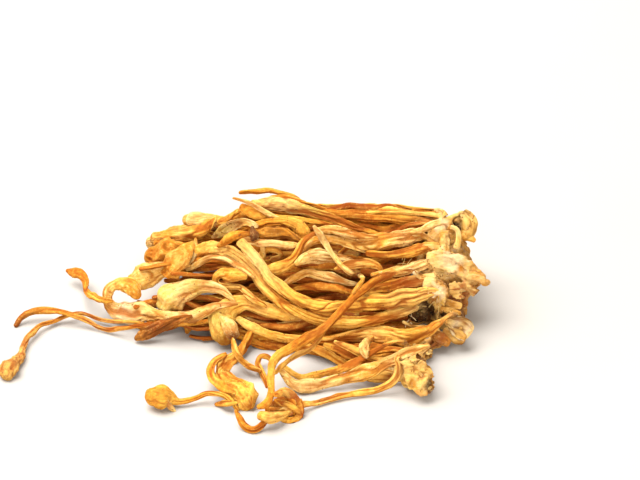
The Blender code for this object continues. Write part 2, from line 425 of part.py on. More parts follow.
def settle(wanted, least):
    """Eases a depth line down to a smooth one that nowhere goes below the least depth."""
    depth = np.maximum(wanted, least)
    for _ in range(SETTLE_ROUNDS):
        beside = np.concatenate((depth[:1], depth[:-1])) + np.concatenate((depth[1:], depth[-1:]))
        depth = np.maximum(least, 0.5 * depth + 0.25 * beside)
    return depth


def front_lobe_depth(lobe):
    across, up, lift = lobe[:3]
    return float(FRONT.depth_at_height(up, front_height(across, up) + lift))


def lobes():
    """Every lobe as its centre, the axes of its radii, and its radii, in mm of the model."""
    sheet_axes = np.array(((1.0, 0.0, 0.0), FRONT.up, FRONT.toward))
    found = []
    for lobe in FRONT_LOBES.values():
        depth = np.array((front_lobe_depth(lobe),))
        centre = FRONT.to_model(np.array(lobe[:1]), np.array(lobe[1:2]), depth)[0]
        found.append((centre, sheet_axes, np.array(lobe[3:])))
    for *place, radius in BACK_LOBES:
        found.append((np.array(place) - ORIGIN, np.eye(3), np.full(3, radius)))
    return found


def front_lobes_as_stalks():
    """The front lobes as one-sample stalks, so that routes can be laid over them."""
    return [Stalk(name, "butt", FRONT, np.array((lobe[:2],)), np.array((front_lobe_depth(lobe),)),
                  np.array((0.5 * (lobe[3] + lobe[4]) + LOBE_MARGIN,)), np.array((lobe[5] + LOBE_MARGIN,)))
            for name, lobe in FRONT_LOBES.items()]


def clear_of_butt(stalk):
    """The stalk cut short at the root, so that it starts just off the butt."""
    centres = stalk.centres()
    first = 0
    for centre, axes, radii in lobes():
        room = radii + ROOT_CLEARANCE + 0.5 * (stalk.half_width + stalk.half_thick)[:, None]
        inside = np.linalg.norm((centres - centre) @ axes.T / room, axis=1) < 1.0
        near_root = np.nonzero(inside[:len(inside) // 2])[0]
        if len(near_root):
            first = max(first, near_root[-1] + 1)
    return stalk.without_start(first)


def lay_routes(sheet, routes, laid):
    """Lays routes over the stalks that are there, deepest first."""
    over_lobes = front_lobes_as_stalks()
    for name, (tone, stalk_share, tip_share, lift, route) in routes.items():
        rows = smooth_through(route, SAMPLE_STEP)
        places = rows[:, :2]
        half_width = 0.5 * np.minimum(rows[:, 2], WIDEST_PER_BEND_RADIUS * bend_radius(places))
        along = np.linspace(0.0, 1.0, len(places))
        share = np.interp(along, (CLUB_STARTS_AT, CLUB_FULL_AT), (stalk_share, tip_share))
        half_thick = half_width * share
        wanted = sheet.depth_at_height(places[:, 1], sheet.heap_height(*places.T) + lift)
        least = least_over_table(sheet, places, half_width, half_thick)
        for other in laid + (over_lobes if name in OVER_BUTT else []):
            seen = other.seen_on(sheet)
            least = np.maximum(least, least_over_stalk(seen, places, half_width, half_thick))
        depth = settle(wanted, least)
        stalk = Stalk(name, tone, sheet, places, depth, half_width, half_thick)
        laid.append(clear_of_butt(stalk))


# ---------------------------------------------------------------- solids

def clear_scene():
    for thing in list(bpy.data.objects):
        bpy.data.objects.remove(thing, do_unlink=True)


def skin(name, tone):
    material = bpy.data.materials.new(name + "_skin")
    material.use_nodes = True
    shader = material.node_tree.nodes["Principled BSDF"]
    shader.inputs["Base Color"].default_value = (*PALETTE[tone], 1.0)
    shader.inputs["Roughness"].default_value = 0.6
    shader.inputs["Metallic"].default_value = 0.0
    return material


def add_object(name, mesh, tone):
    piece = bpy.data.objects.new(name, mesh)
    bpy.context.scene.collection.objects.link(piece)
    mesh.materials.append(skin(name, tone))
    mesh.shade_smooth()
    mesh.set_sharp_from_angle(angle=math.radians(50))
    return piece


def ring_samples(centres):
    """Sample numbers of the rings: about RING_STEP apart, closer where the stalk bends."""
    steps = np.diff(centres, axis=0)
    length = np.linalg.norm(steps, axis=1)
    heading = steps / length[:, None]
    turn = np.concatenate(((0.0,), np.linalg.norm(np.diff(heading, axis=0), axis=1)))
    passed = np.cumsum(length / RING_STEP + RING_TURN_WEIGHT * turn)
    passed = np.concatenate(((0.0,), passed))
    count = max(int(round(passed[-1])), 3) + 1
    return np.unique(np.searchsorted(passed, np.linspace(0.0, passed[-1], count) - 1e-9))


def stalk_mesh(stalk, seed):
    """A fluted tube through the stalk's samples, closed by a blunt root and a rounded tip."""
    rng = np.random.default_rng(seed)
    centres = stalk.centres()
    heading = np.gradient(centres, axis=0)
    heading /= np.linalg.norm(heading, axis=1)[:, None]
    side = np.cross(heading, stalk.sheet.toward)
    side /= np.linalg.norm(side, axis=1)[:, None]
    face = np.cross(side, heading)
    wide = stalk.half_width[:, None] * side
    thick = stalk.half_thick[:, None] * face
    stations = [(centres[i], wide[i], thick[i], i * SAMPLE_STEP) for i in ring_samples(centres)]
    ahead = heading[-1]
    cap = 0.75 * stalk.half_thick[-1] + 0.25 * stalk.half_width[-1]
    stations.append((centres[-1] + TIP_RING_AT * cap * ahead, TIP_RING_SIZE * wide[-1],
                     TIP_RING_SIZE * thick[-1], stations[-1][3]))
    bm = bmesh.new()
    loops = []
    for centre, across, toward, run in stations:
        lump = 1.0 + rng.uniform(-LUMP_DEPTH, LUMP_DEPTH)
        loop = []
        for number in range(RING_SIDES):
            angle = 2.0 * math.pi * number / RING_SIDES + TWIST_PER_MM * run
            flute = lump * (1.0 + FLUTE_DEPTH * (-1) ** number)
            place = centre + flute * (math.cos(angle) * across + math.sin(angle) * toward)
            place[2] = max(place[2], 0.0)
            loop.append(bm.verts.new(place * MM))
        loops.append(loop)
    root = bm.verts.new((centres[0] - ROOT_BULGE * stalk.half_thick[0] * heading[0]) * MM)
    tip = bm.verts.new((centres[-1] + cap * ahead) * MM)
    for number in range(RING_SIDES):
        after = (number + 1) % RING_SIDES
        bm.faces.new((root, loops[0][after], loops[0][number]))
        bm.faces.new((tip, loops[-1][number], loops[-1][after]))
        for near, far in zip(loops, loops[1:]):
            bm.faces.new((near[number], near[after], far[after], far[number]))
    bmesh.ops.triangulate(bm, faces=bm.faces[:])
    bmesh.ops.recalc_face_normals(bm, faces=bm.faces[:])
    mesh = bpy.data.meshes.new(stalk.name)
    bm.to_mesh(mesh)
    bm.free()
    return mesh


def lumps(place):
    """Rounded lumps of the crust: a height between about -1 and 1 at a place in mm."""
    x, y, z = place
    return (math.sin(1.3 * x + 1.3 * math.sin(0.6 * y)) * math.sin(1.2 * y + 1.1 * math.sin(0.7 * z))
            + 0.5 * math.sin(2.1 * z + 1.2 * math.sin(1.1 * x)) * math.sin(1.9 * x + 0.7 * y))


def evaluated_copy(piece, name):
    """The piece's mesh with its modifiers applied."""
    seen = piece.evaluated_get(bpy.context.evaluated_depsgraph_get())
    mesh = bpy.data.meshes.new_from_object(seen)
    mesh.name = name
    return mesh


def lobes_object():
    """The separate lobes as one object, not yet joined."""
    bm = bmesh.new()
    for centre, axes, radii in lobes():
        for vert in bmesh.ops.create_icosphere(bm, subdivisions=3, radius=1.0)["verts"]:
            vert.co = (centre + (np.array(vert.co) * radii) @ axes) * MM
    mesh = bpy.data.meshes.new("lobes")
    bm.to_mesh(mesh)
    bm.free()
    piece = bpy.data.objects.new("lobes", mesh)
    bpy.context.scene.collection.objects.link(piece)
    return piece


def cut_flat(mesh):
    """Cuts the mesh off level with the table and closes the cut."""
    bm = bmesh.new()
    bm.from_mesh(mesh)
    bmesh.ops.bisect_plane(bm, geom=bm.verts[:] + bm.edges[:] + bm.faces[:], dist=1e-6,
                           plane_co=(0.0, 0.0, 0.0), plane_no=(0.0, 0.0, 1.0), clear_inner=True)
    bmesh.ops.holes_fill(bm, edges=[edge for edge in bm.edges if edge.is_boundary])
    bmesh.ops.triangulate(bm, faces=bm.faces[:])
    bmesh.ops.recalc_face_normals(bm, faces=bm.faces[:])
    bm.to_mesh(mesh)
    bm.free()


def butt_mesh():
    """The lobes grown together in one crusted lump, flat where it lies on the table."""
    piece = lobes_object()
    remesh = piece.modifiers.new("one skin", "REMESH")
    remesh.mode = "VOXEL"
    remesh.voxel_size = BUTT_VOXEL * MM
    grown = evaluated_copy(piece, "grown")
    piece.modifiers.clear()
    for vert in grown.vertices:
        vert.co += vert.normal * (BUTT_LUMP * lumps(vert.co / MM) * MM)
    piece.data = grown
    thin = piece.modifiers.new("fewer faces", "DECIMATE")
    thin.ratio = BUTT_TRIANGLES / (2.0 * len(grown.polygons))
    coarse = evaluated_copy(piece, "butt")
    bpy.data.objects.remove(piece, do_unlink=True)
    cut_flat(coarse)
    return coarse


def build():
    clear_scene()
    stalks = []
    lay_routes(FRONT, FRONT_ROUTES, stalks)
    lay_routes(BACK, BACK_ROUTES, stalks)
    add_object("butt", butt_mesh(), "butt")
    for number, stalk in enumerate(stalks):
        add_object(stalk.name, stalk_mesh(stalk, number), stalk.tone)


build()
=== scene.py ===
"""Looks of one cluster of dried cordyceps: furrowed, flattened stalks with club tips, grown from
one cut, crusted butt, lying on a pale floor.

The stalks are drawn on a sheet that leans back from the floor. A route is a list of points
(across, up, width) on that sheet, in millimetres, from the root to the tip. Tables and the numbers
near the top are in millimetres, and MM turns them into metres.
"""

import itertools
import math

import bpy
import numpy as np
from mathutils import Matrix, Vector, kdtree


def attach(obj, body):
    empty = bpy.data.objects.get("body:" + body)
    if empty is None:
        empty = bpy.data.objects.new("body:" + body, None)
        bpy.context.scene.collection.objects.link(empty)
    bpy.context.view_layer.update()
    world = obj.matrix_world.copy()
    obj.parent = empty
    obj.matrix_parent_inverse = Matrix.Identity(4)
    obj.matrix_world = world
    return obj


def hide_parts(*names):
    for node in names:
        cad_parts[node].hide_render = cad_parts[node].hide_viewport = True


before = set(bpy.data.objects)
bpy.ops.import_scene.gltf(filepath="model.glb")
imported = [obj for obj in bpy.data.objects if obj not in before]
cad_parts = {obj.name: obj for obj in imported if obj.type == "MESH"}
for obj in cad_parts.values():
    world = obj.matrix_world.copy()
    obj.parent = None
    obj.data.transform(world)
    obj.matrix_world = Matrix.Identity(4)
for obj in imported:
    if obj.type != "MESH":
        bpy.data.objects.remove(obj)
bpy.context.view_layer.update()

MM = 0.001

# The sheets: their lean, and the faces of the heap that the stalks lie on.
SHEET_LEAN = math.radians(35)
FRONT_RISE_FROM = 15.2
FRONT_RISE = 0.675
FRONT_FULL_ACROSS = -12.0
FRONT_LOW_ACROSS = -46.0
FRONT_LOW_SHARE = 0.35
BACK_FOOT = 57.5
BACK_RISE = 0.85
ORIGIN = np.array((-15.14, 31.15, 0.0))

# Laying the stalks. Sprigs that lie over others are lowered first and pressed in last, in mm.
SAMPLE_STEP = 0.5
FINE_SHARE_OF_STEP = 0.25
FEWEST_SAMPLES = 4
STRAIGHTEST = 1e-6
GAP = 0.42
SETTLE_ROUNDS = 220
SPRIG_ROUNDS = 10
SPRIG_LOWER = 1.6
SPRIG_SINK = 0.85
TABLE_ALLOWANCE = 1.14
WIDEST_PER_BEND_RADIUS = 1.7
CLUB_STARTS_AT = 0.6
CLUB_FULL_AT = 0.9
ROOT_CLEARANCE = 0.55
LOBE_MARGIN = 0.4

# Where roots run to inside the butt, in mm of the model.
BUTT_HEART = np.array((28.0, 2.8, 5.0))

# The rings that a stalk's mesh is made of, and its rounded tip.
RING_STEP = 0.27
FEWEST_RINGS = 6
SIDE_STEP = 0.19
FEWEST_SIDES = 16
MOST_SIDES = 84
TIP_TURNS = np.radians((20, 38, 54, 67, 78, 86))
TIP_ROUNDNESS = 0.75
THINNEST = 1e-4

# How a stalk sways to the side and outward, swells and rolls, and how far apart in mm.
SWAY_LEAST = 0.08
SWAY_PER_WIDTH = 0.10
SWAY_GROWS = 2.0
SWAY_OUT = 0.8
SWELL = 0.15
ROLL = 0.35
LINE_LENGTHS = (2.6, 2.1, 2.9, 7.0)

# Roots: where they are drawn back into the butt, or tucked under their neighbours.
ROOT_OVERLAP = 3.0
ROOT_REACH = 7.0
ROOT_LEAST_X = 9.0
ROOT_DEPTH = 1.6
ROOT_SWELL = 1.2
ROOT_BULGE = 0.3
ROOT_FADE = 3.0
ROOT_PALE = 0.85
TUCK_BACK = 2.4
TUCK_DOWN = 1.5
TUCK_PER_WIDTH = 0.7
TUCK_SWELL = 0.5
COLLAR_LENGTH = 3.0
COLLAR_THICKER = (0.45, -0.35)
COLLAR_THINNEST = 0.2

# The skin of the stalks: where it turns into a club's, how far its forms rise, and their flutes.
SKIN_CLUB_FROM = 0.62
SKIN_CLUB_GROWS = 0.2
CLUB_SMOOTHNESS = 0.85
RIBS_FADE = 14.0
RIBS_LEFT = 0.38
FLESH_PER_THICKNESS = 2.4
FIRM_LIMIT = 1.6
FOLD_LIMIT = 3.0
FOLD_RISE = 0.42
LEAF_CRUMPLE = 0.45
BULGE_RISE = 0.16
PUFF_RISE = 0.20
GRIT_RISE = 0.015
GUTTER_LENGTH = 6.0
FLUTE_APART = 1.15
FLUTE_LENGTH = 4.5
FLUTE_HEIGHT = 0.28
FLUTE_SHARE = 0.30

# How far apart in the noise the stalks, and the forms of one stalk, are read.
LINE_APART = 7.3
SKIN_APART = 31.7
FORM_APART = 5.1
GRAIN_APART = 13.7
DRIFT = 0.8
DRIFT_LENGTH = 11.0

# Dried colours, as linear red, green and blue.
PALETTE = {
    "white": (0.78, 0.61, 0.36),
    "cream": (0.92, 0.62, 0.22),
    "pale": (0.91, 0.54, 0.13),
    "yellow": (0.90, 0.475, 0.07),
    "olive": (0.60, 0.42, 0.090),
    "orange": (0.74, 0.295, 0.024),
    "buff": (0.64, 0.36, 0.095),
    "ochre": (0.58, 0.240, 0.027),
    # deep also stands for painted shade on the stalks that lie in shadow.
    "deep": (0.46, 0.145, 0.013),
    "rust": (0.30, 0.075, 0.014),
    "brown": (0.18, 0.06, 0.015),
    "grey": (0.15, 0.12, 0.07),
    # Near black: soil on debris, and painted shade in the butt's holes and pits.
    "soil": (0.020, 0.011, 0.007),
}


class Sheet:
    """A leaning sheet that routes are drawn on, seen square on."""

    def __init__(self, facing, foot, heap_height):
        self.up = np.array((0.0, -facing * math.sin(SHEET_LEAN), math.cos(SHEET_LEAN)))
        self.toward = np.array((0.0, facing * math.cos(SHEET_LEAN), math.sin(SHEET_LEAN)))
        self.foot = np.array((0.0, foot, 0.0)) - ORIGIN
        self.heap_height = heap_height

    def depth_at_height(self, up, height):
        """Depth toward the viewer at which a place on the sheet has the given height."""
        return (height - up * self.up[2]) / self.toward[2]

    def to_model(self, across, up, depth):
        """Sheet places in mm to model places in mm."""
        places = np.outer(up, self.up) + np.outer(depth, self.toward)
        places[:, 0] = across
        return places + self.foot

    def from_model(self, places):
        """Model places in mm to sheet places, as (across, up), and their depths."""
        local = places - self.foot
        return np.column_stack((local[:, 0], local @ self.up)), local @ self.toward


def front_height(across, up):
    """Height of the heap's front face, which is lower toward the clubs."""
    share = np.interp(across, (FRONT_LOW_ACROSS, FRONT_FULL_ACROSS), (FRONT_LOW_SHARE, 1.0))
    return FRONT_RISE * np.maximum(up - FRONT_RISE_FROM, 0.0) * share


def back_height(_, up):
    """Height of the heap's steep back face."""
    return BACK_RISE * up


FRONT = Sheet(-1.0, 0.0, front_height)
BACK = Sheet(1.0, BACK_FOOT, back_height)


# ---------------------------------------------------------------- routes

# name: (tone, thickness share of the stalk, thickness share of the tip, lift in mm, route)
# The deep tone of the shaded stalks and of bottom_stalk is painted shade, where they lie in shadow under the
# others.
FRONT_ROUTES = {
    "shaded_upper_stalk": ("deep", 0.7, 0.6, -1.5, (
        (24.8, 40.4, 1.6), (21.6, 40.6, 2.0), (18.4, 40.2, 2.0), (15.6, 39.4, 1.8),
        (12.0, 38.4, 1.6), (8.8, 37.6, 1.2))),
    "shaded_middle_stalk": ("deep", 0.6, 0.6, -3.0, (
        (22.4, 34.8, 1.8), (20.0, 34.2, 2.2), (16.0, 33.6, 2.6), (12.0, 33.0, 2.4),
        (8.4, 32.8, 2.0), (5.0, 32.8, 1.4))),
    "long_upper_stalk": ("orange", 0.6, 0.6, -0.5, (
        (15.6, 37.4, 1.0), (12.4, 38.2, 1.2), (9.6, 39.2, 1.4), (6.4, 40.4, 1.8),
        (3.0, 41.8, 2.0), (-0.4, 43.0, 2.2), (-3.6, 44.0, 2.4), (-6.4, 44.6, 2.8),
        (-9.0, 44.8, 3.2), (-11.6, 44.8, 2.4), (-13.6, 45.2, 1.2))),
    "ribbed_upper_stalk": ("orange", 0.5, 0.4, -0.8, (
        (13.0, 37.0, 1.0), (9.0, 38.2, 1.2), (5.0, 39.6, 1.2), (1.0, 40.8, 1.2),
        (-3.0, 41.6, 1.2), (-6.0, 42.0, 1.2), (-8.8, 42.0, 1.6), (-11.4, 42.4, 2.2),
        (-13.8, 43.2, 2.4), (-15.8, 44.4, 1.4))),
    "fine_upper_stalk": ("pale", 0.8, 0.8, 0.4, (
        (-7.8, 41.8, 0.7), (-10.0, 42.7, 0.9), (-12.0, 43.9, 1.0), (-14.0, 45.0, 1.0),
        (-16.0, 45.6, 0.8), (-17.4, 46.0, 0.6))),
    "elbow_stalk": ("orange", 0.7, 0.8, -0.3, (
        (-14.0, 40.4, 1.0), (-11.6, 41.0, 1.6), (-9.0, 41.2, 1.8), (-6.4, 41.2, 2.2),
        (-4.2, 40.4, 2.8), (-3.6, 39.0, 3.0), (-3.8, 37.8, 2.0))),
    "buff_club": ("brown", 0.6, 0.6, -0.8, (
        (-4.0, 37.6, 1.0), (-5.6, 38.4, 1.8), (-7.6, 39.0, 2.6), (-9.6, 39.0, 2.8),
        (-11.4, 39.0, 2.2), (-12.6, 39.2, 1.2))),
    "thick_crossing_stalk": ("cream", 0.7, 0.6, 0.4, (
        (21.2, 38.0, 1.4), (18.8, 38.4, 2.8), (16.0, 37.8, 3.2), (13.2, 37.2, 3.4),
        (10.4, 36.6, 3.6), (8.0, 36.6, 2.8), (5.6, 37.0, 2.2), (3.6, 37.4, 1.8),
        (1.6, 37.8, 1.8), (-0.4, 37.6, 1.8), (-2.2, 36.8, 1.6), (-3.4, 35.4, 1.2))),
    "under_crossing_stalk": ("orange", 0.7, 0.6, -1.5, (
        (22.8, 36.4, 1.8), (20.8, 36.0, 2.4), (18.0, 35.4, 2.4), (15.2, 34.8, 2.0),
        (12.4, 34.6, 1.8), (9.6, 34.8, 1.4))),
    "short_root_stalk": ("cream", 0.7, 0.7, 0.5, (
        (25.2, 41.4, 1.4), (23.6, 41.0, 1.6), (22.0, 40.2, 1.6), (20.2, 39.6, 1.2),
        (18.4, 39.2, 0.6))),
    "crusted_stalk": ("pale", 0.6, 0.6, 0.2, (
        (10.8, 38.2, 1.0), (8.4, 38.4, 1.8), (6.0, 39.0, 2.2), (3.2, 39.6, 1.8),
        (0.8, 39.8, 1.6), (-0.8, 39.6, 1.0))),
    "cream_crossbar": ("cream", 0.6, 0.6, 0.5, (
        (-15.4, 37.8, 1.4), (-13.6, 37.4, 1.8), (-11.6, 37.0, 2.0), (-9.6, 37.0, 1.8),
        (-7.4, 36.7, 1.8), (-5.6, 36.5, 1.6), (-4.4, 36.4, 1.0))),
    "broad_yellow_stalk": ("yellow", 0.45, 0.5, 0.6, (
        (-0.4, 39.4, 0.8), (-2.0, 38.6, 1.4), (-3.4, 37.2, 1.6), (-4.2, 35.6, 1.8),
        (-5.4, 33.8, 2.2), (-7.2, 32.6, 2.6), (-9.2, 31.8, 2.6), (-11.0, 31.4, 1.8))),
    "pale_ridged_stalk": ("cream", 0.45, 0.5, -0.4, (
        (6.4, 33.2, 1.6), (4.0, 33.8, 2.4), (1.4, 34.2, 3.0), (-1.4, 34.2, 3.0),
        (-3.4, 33.6, 2.2), (-4.8, 32.8, 1.0))),
    "right_curl_stalk": ("yellow", 0.5, 0.6, 0.2, (
        (3.6, 32.0, 1.0), (5.6, 32.7, 1.8), (7.8, 33.0, 2.0), (10.0, 32.9, 2.0),
        (11.8, 32.2, 1.4), (12.4, 31.2, 0.8))),
    "cream_arch_stalk": ("cream", 0.5, 0.5, -0.2, (
        (6.8, 28.8, 1.2), (4.4, 29.4, 1.8), (2.0, 30.2, 2.2), (-0.6, 30.8, 2.2),
        (-3.0, 31.0, 2.0), (-5.0, 30.2, 1.6), (-6.8, 29.0, 1.2), (-7.8, 28.2, 0.8))),
    "shaded_arch_stalk": ("orange", 0.5, 0.5, -2.0, (
        (7.2, 27.0, 1.2), (3.6, 27.8, 1.8), (0.4, 28.2, 2.0), (-2.4, 28.2, 1.8),
        (-4.8, 27.7, 1.4), (-6.4, 27.0, 1.0))),
    "crest_stalk": ("cream", 0.5, 0.5, 0.2, (
        (22.0, 33.2, 1.6), (20.0, 32.4, 2.4), (17.6, 31.6, 2.4), (15.0, 31.2, 2.2),
        (12.6, 31.0, 1.6), (10.4, 30.6, 1.0))),
    "stained_stalk": ("orange", 0.45, 0.5, -0.2, (
        (22.8, 30.0, 2.0), (20.0, 29.4, 3.0), (17.0, 28.8, 3.0), (14.0, 28.2, 2.8),
        (11.4, 27.6, 2.4), (9.2, 26.6, 1.8), (7.4, 25.4, 1.0))),
    "shaded_lower_stalk": ("deep", 0.5, 0.5, -2.5, (
        (16.4, 20.4, 1.6), (12.0, 20.0, 2.4), (8.0, 19.6, 2.4), (4.0, 19.6, 2.4),
        (0.0, 19.8, 2.6), (-4.0, 19.8, 2.8), (-7.0, 19.8, 2.8), (-10.0, 20.0, 2.4),
        (-12.8, 20.4, 1.8), (-15.2, 21.0, 1.2))),
    "bottom_stalk": ("deep", 0.6, 0.6, -1.2, (
        (6.4, 16.0, 1.2), (3.0, 16.0, 1.6), (-1.0, 16.0, 1.8), (-5.0, 16.0, 1.8),
        (-9.0, 16.4, 1.8), (-12.4, 17.0, 1.8), (-14.8, 17.6, 1.6), (-16.4, 18.2, 1.2))),
    "fine_pale_stalk": ("cream", 0.7, 0.6, -0.3, (
        (-4.0, 21.4, 1.0), (-6.4, 21.2, 1.2), (-9.0, 20.6, 1.2), (-11.6, 20.8, 1.2),
        (-13.8, 21.6, 1.2), (-15.4, 22.4, 1.0), (-16.6, 23.0, 0.8))),
    "bent_club_stalk": ("yellow", 0.5, 0.75, 0.3, (
        (-4.4, 22.2, 1.4), (-6.4, 22.4, 2.2), (-9.0, 23.2, 2.8), (-11.6, 24.0, 3.0),
        (-13.8, 24.8, 3.0), (-15.4, 25.0, 3.2), (-17.2, 24.4, 3.8), (-18.8, 23.0, 4.6),
        (-19.6, 21.2, 5.2), (-19.4, 19.4, 5.2), (-18.8, 18.0, 3.6))),
    "lower_great_stalk": ("yellow", 0.45, 0.6, 0.0, (
        (24.8, 22.0, 1.0), (23.4, 20.8, 1.8), (21.4, 19.4, 2.6), (18.8, 18.6, 3.4),
        (16.0, 18.4, 3.8), (13.0, 18.6, 3.6), (10.0, 18.6, 3.0), (7.0, 18.4, 2.4),
        (3.6, 18.0, 2.0), (0.0, 17.6, 2.0), (-3.6, 17.6, 2.0), (-7.0, 18.0, 2.0),
        (-10.0, 18.8, 2.0), (-12.6, 19.8, 1.8), (-14.8, 20.8, 1.6), (-16.4, 21.8, 1.2))),
    "middle_great_stalk": ("yellow", 0.55, 0.6, 0.5, (
        (18.8, 24.0, 1.4), (16.0, 23.0, 2.0), (13.0, 22.2, 2.4), (10.0, 21.6, 2.4),
        (7.0, 21.2, 2.6), (4.0, 21.2, 2.6), (0.4, 21.6, 2.6), (-3.0, 22.6, 2.6),
        (-6.0, 24.0, 2.6), (-8.6, 25.8, 2.4), (-10.8, 27.8, 2.4), (-12.2, 29.4, 2.2),
        (-13.2, 31.2, 2.2), (-14.6, 32.8, 2.2), (-16.6, 34.4, 2.4), (-19.0, 35.6, 2.6),
        (-21.6, 35.8, 2.6), (-23.4, 35.4, 3.6), (-25.0, 34.8, 4.4), (-26.6, 34.4, 5.6),
        (-28.6, 34.0, 7.2), (-30.8, 33.8, 8.0), (-32.8, 34.0, 6.8), (-34.2, 34.4, 4.0))),
    "upper_great_stalk": ("orange", 0.5, 0.55, 0.6, (
        (22.0, 27.0, 2.6), (19.0, 26.4, 3.4), (16.0, 25.8, 3.6), (13.0, 25.4, 3.8),
        (10.0, 25.2, 3.8), (7.0, 24.6, 3.0), (4.0, 24.2, 2.6), (0.4, 24.2, 2.6),
        (-3.6, 25.6, 2.6), (-6.4, 27.2, 2.6), (-8.6, 28.8, 2.6), (-10.4, 30.6, 2.4),
        (-11.8, 32.4, 2.4), (-13.2, 34.0, 2.2), (-14.6, 35.6, 2.2), (-16.0, 37.0, 2.0))),
    "side_strand": ("pale", 0.6, 0.6, 0.7, (
        (-13.8, 30.6, 1.2), (-15.4, 31.7, 1.6), (-17.4, 32.8, 1.6), (-19.4, 33.9, 1.6),
        (-21.8, 34.1, 1.6), (-23.8, 33.3, 1.6), (-25.6, 32.3, 1.4), (-26.8, 31.6, 0.8))),
    "rolled_club_stalk": ("yellow", 0.6, 0.8, -0.2, (
        (-11.6, 24.8, 1.2), (-13.2, 25.8, 1.6), (-14.4, 27.0, 1.6), (-15.8, 28.0, 1.4),
        (-17.6, 28.2, 1.4), (-19.2, 28.2, 1.4), (-20.5, 28.6, 1.2), (-21.0, 29.7, 1.3),
        (-20.2, 30.7, 1.8), (-18.6, 30.9, 2.5), (-16.6, 30.6, 2.5), (-15.2, 30.2, 1.6))),
    "pale_side_club": ("cream", 0.5, 0.7, -2.0, (
        (-27.2, 32.4, 1.4), (-30.0, 32.0, 2.2), (-32.8, 31.4, 4.0), (-34.8, 30.6, 5.4),
        (-36.2, 29.8, 5.2), (-37.6, 29.4, 3.2))),
    "swollen_pale_club": ("cream", 0.5, 0.65, 0.3, (
        (-17.4, 25.6, 1.0), (-18.2, 26.6, 1.4), (-19.4, 27.6, 2.0), (-21.4, 28.2, 2.8),
        (-23.8, 28.3, 3.2), (-26.2, 27.8, 3.8), (-28.4, 26.8, 4.8), (-30.2, 25.4, 5.2),
        (-31.2, 24.2, 3.6))),
    "hooked_club_stalk": ("pale", 0.4, 0.6, 0.3, (
        (-17.2, 24.8, 1.0), (-19.0, 24.8, 1.4), (-21.2, 24.2, 1.8), (-23.2, 23.2, 2.4),
        (-25.4, 22.2, 2.6), (-28.0, 21.9, 2.6), (-30.4, 22.2, 2.2), (-32.4, 22.6, 2.2),
        (-34.2, 22.8, 3.2), (-36.2, 23.0, 4.6), (-38.6, 22.8, 4.2), (-40.6, 23.2, 3.6),
        (-42.2, 24.4, 2.6), (-43.0, 26.0, 2.0), (-42.6, 27.6, 2.0), (-41.2, 28.5, 2.2),
        (-39.4, 28.4, 2.8), (-37.8, 27.6, 3.6), (-36.8, 26.4, 2.2))),
    "stub_club": ("brown", 0.8, 0.8, -2.0, (
        (-26.8, 22.0, 1.6), (-29.6, 21.2, 2.2), (-32.0, 20.2, 2.6), (-34.2, 19.2, 2.8),
        (-35.8, 18.4, 2.6), (-36.6, 18.0, 1.6))),
    "orange_side_club": ("orange", 0.7, 0.6, -3.0, (
        (-42.8, 25.4, 1.2), (-44.8, 25.8, 1.6), (-46.2, 26.4, 1.6), (-47.4, 27.8, 1.6),
        (-47.6, 29.4, 1.8), (-48.8, 30.6, 2.2), (-50.4, 31.0, 2.0), (-51.6, 31.4, 0.8))),
    "low_diagonal_stalk": ("yellow", 0.6, 0.6, -1.0, (
        (6.8, 12.0, 1.6), (4.0, 13.4, 1.8), (1.6, 14.6, 1.8), (-0.8, 15.8, 1.8),
        (-3.0, 16.4, 1.4), (-4.8, 16.8, 0.8))),
    "mid_diagonal_stalk": ("orange", 0.6, 0.6, -1.0, (
        (10.8, 12.4, 1.4), (8.0, 13.6, 1.8), (5.6, 14.8, 2.0), (3.2, 16.0, 1.8),
        (1.0, 16.8, 1.0))),
    "high_diagonal_stalk": ("orange", 0.6, 0.6, -0.8, (
        (11.6, 14.0, 1.2), (9.2, 14.6, 1.6), (6.8, 15.8, 1.6), (4.6, 16.8, 1.4),
        (3.0, 17.4, 0.8))),
    "lobe_flat_stalk": ("yellow", 0.4, 0.5, 0.0, (
        (16.8, 10.2, 1.6), (14.4, 10.4, 2.8), (12.0, 10.6, 3.4), (10.0, 10.6, 3.0),
        (8.2, 11.4, 2.0), (6.6, 12.2, 1.0))),
    "upper_low_stalk": ("yellow", 0.5, 0.5, 0.3, (
        (14.8, 17.4, 0.8), (12.4, 16.6, 1.2), (10.4, 15.4, 1.4), (8.4, 14.2, 1.6),
        (6.0, 12.8, 1.8), (3.6, 11.8, 1.8), (1.0, 11.2, 1.8), (-1.4, 10.6, 1.8),
        (-3.4, 10.4, 1.4), (-5.4, 11.2, 1.2), (-6.8, 12.2, 1.2), (-7.6, 13.0, 0.8))),
    "great_low_stalk": ("pale", 0.45, 0.5, 0.3, (
        (20.8, 16.6, 1.2), (19.2, 16.0, 1.8), (17.0, 15.2, 2.4), (14.4, 14.0, 2.8),
        (11.6, 12.6, 3.2), (8.8, 11.4, 3.2), (6.0, 10.4, 2.6), (3.2, 9.8, 2.4),
        (0.4, 9.2, 2.4), (-2.0, 8.8, 2.8), (-3.8, 8.6, 3.0), (-5.4, 9.2, 2.4),
        (-6.8, 10.6, 1.6), (-7.8, 11.8, 1.0))),
    "thin_sweeping_stalk": ("yellow", 0.6, 0.6, 0.2, (
        (15.0, 14.2, 1.2), (15.6, 12.8, 1.6), (15.2, 11.0, 1.6), (14.0, 9.4, 1.6),
        (12.0, 8.2, 1.6), (9.2, 7.6, 1.4), (6.0, 7.2, 1.4), (3.2, 6.8, 1.4),
        (0.8, 6.0, 1.2), (-1.6, 5.4, 1.2), (-3.4, 5.2, 1.4), (-4.8, 4.6, 2.4),
        (-6.4, 4.6, 3.2), (-8.2, 4.8, 3.2), (-9.8, 4.0, 2.0))),
    "looped_stalk": ("orange", 0.7, 0.7, 0.0, (
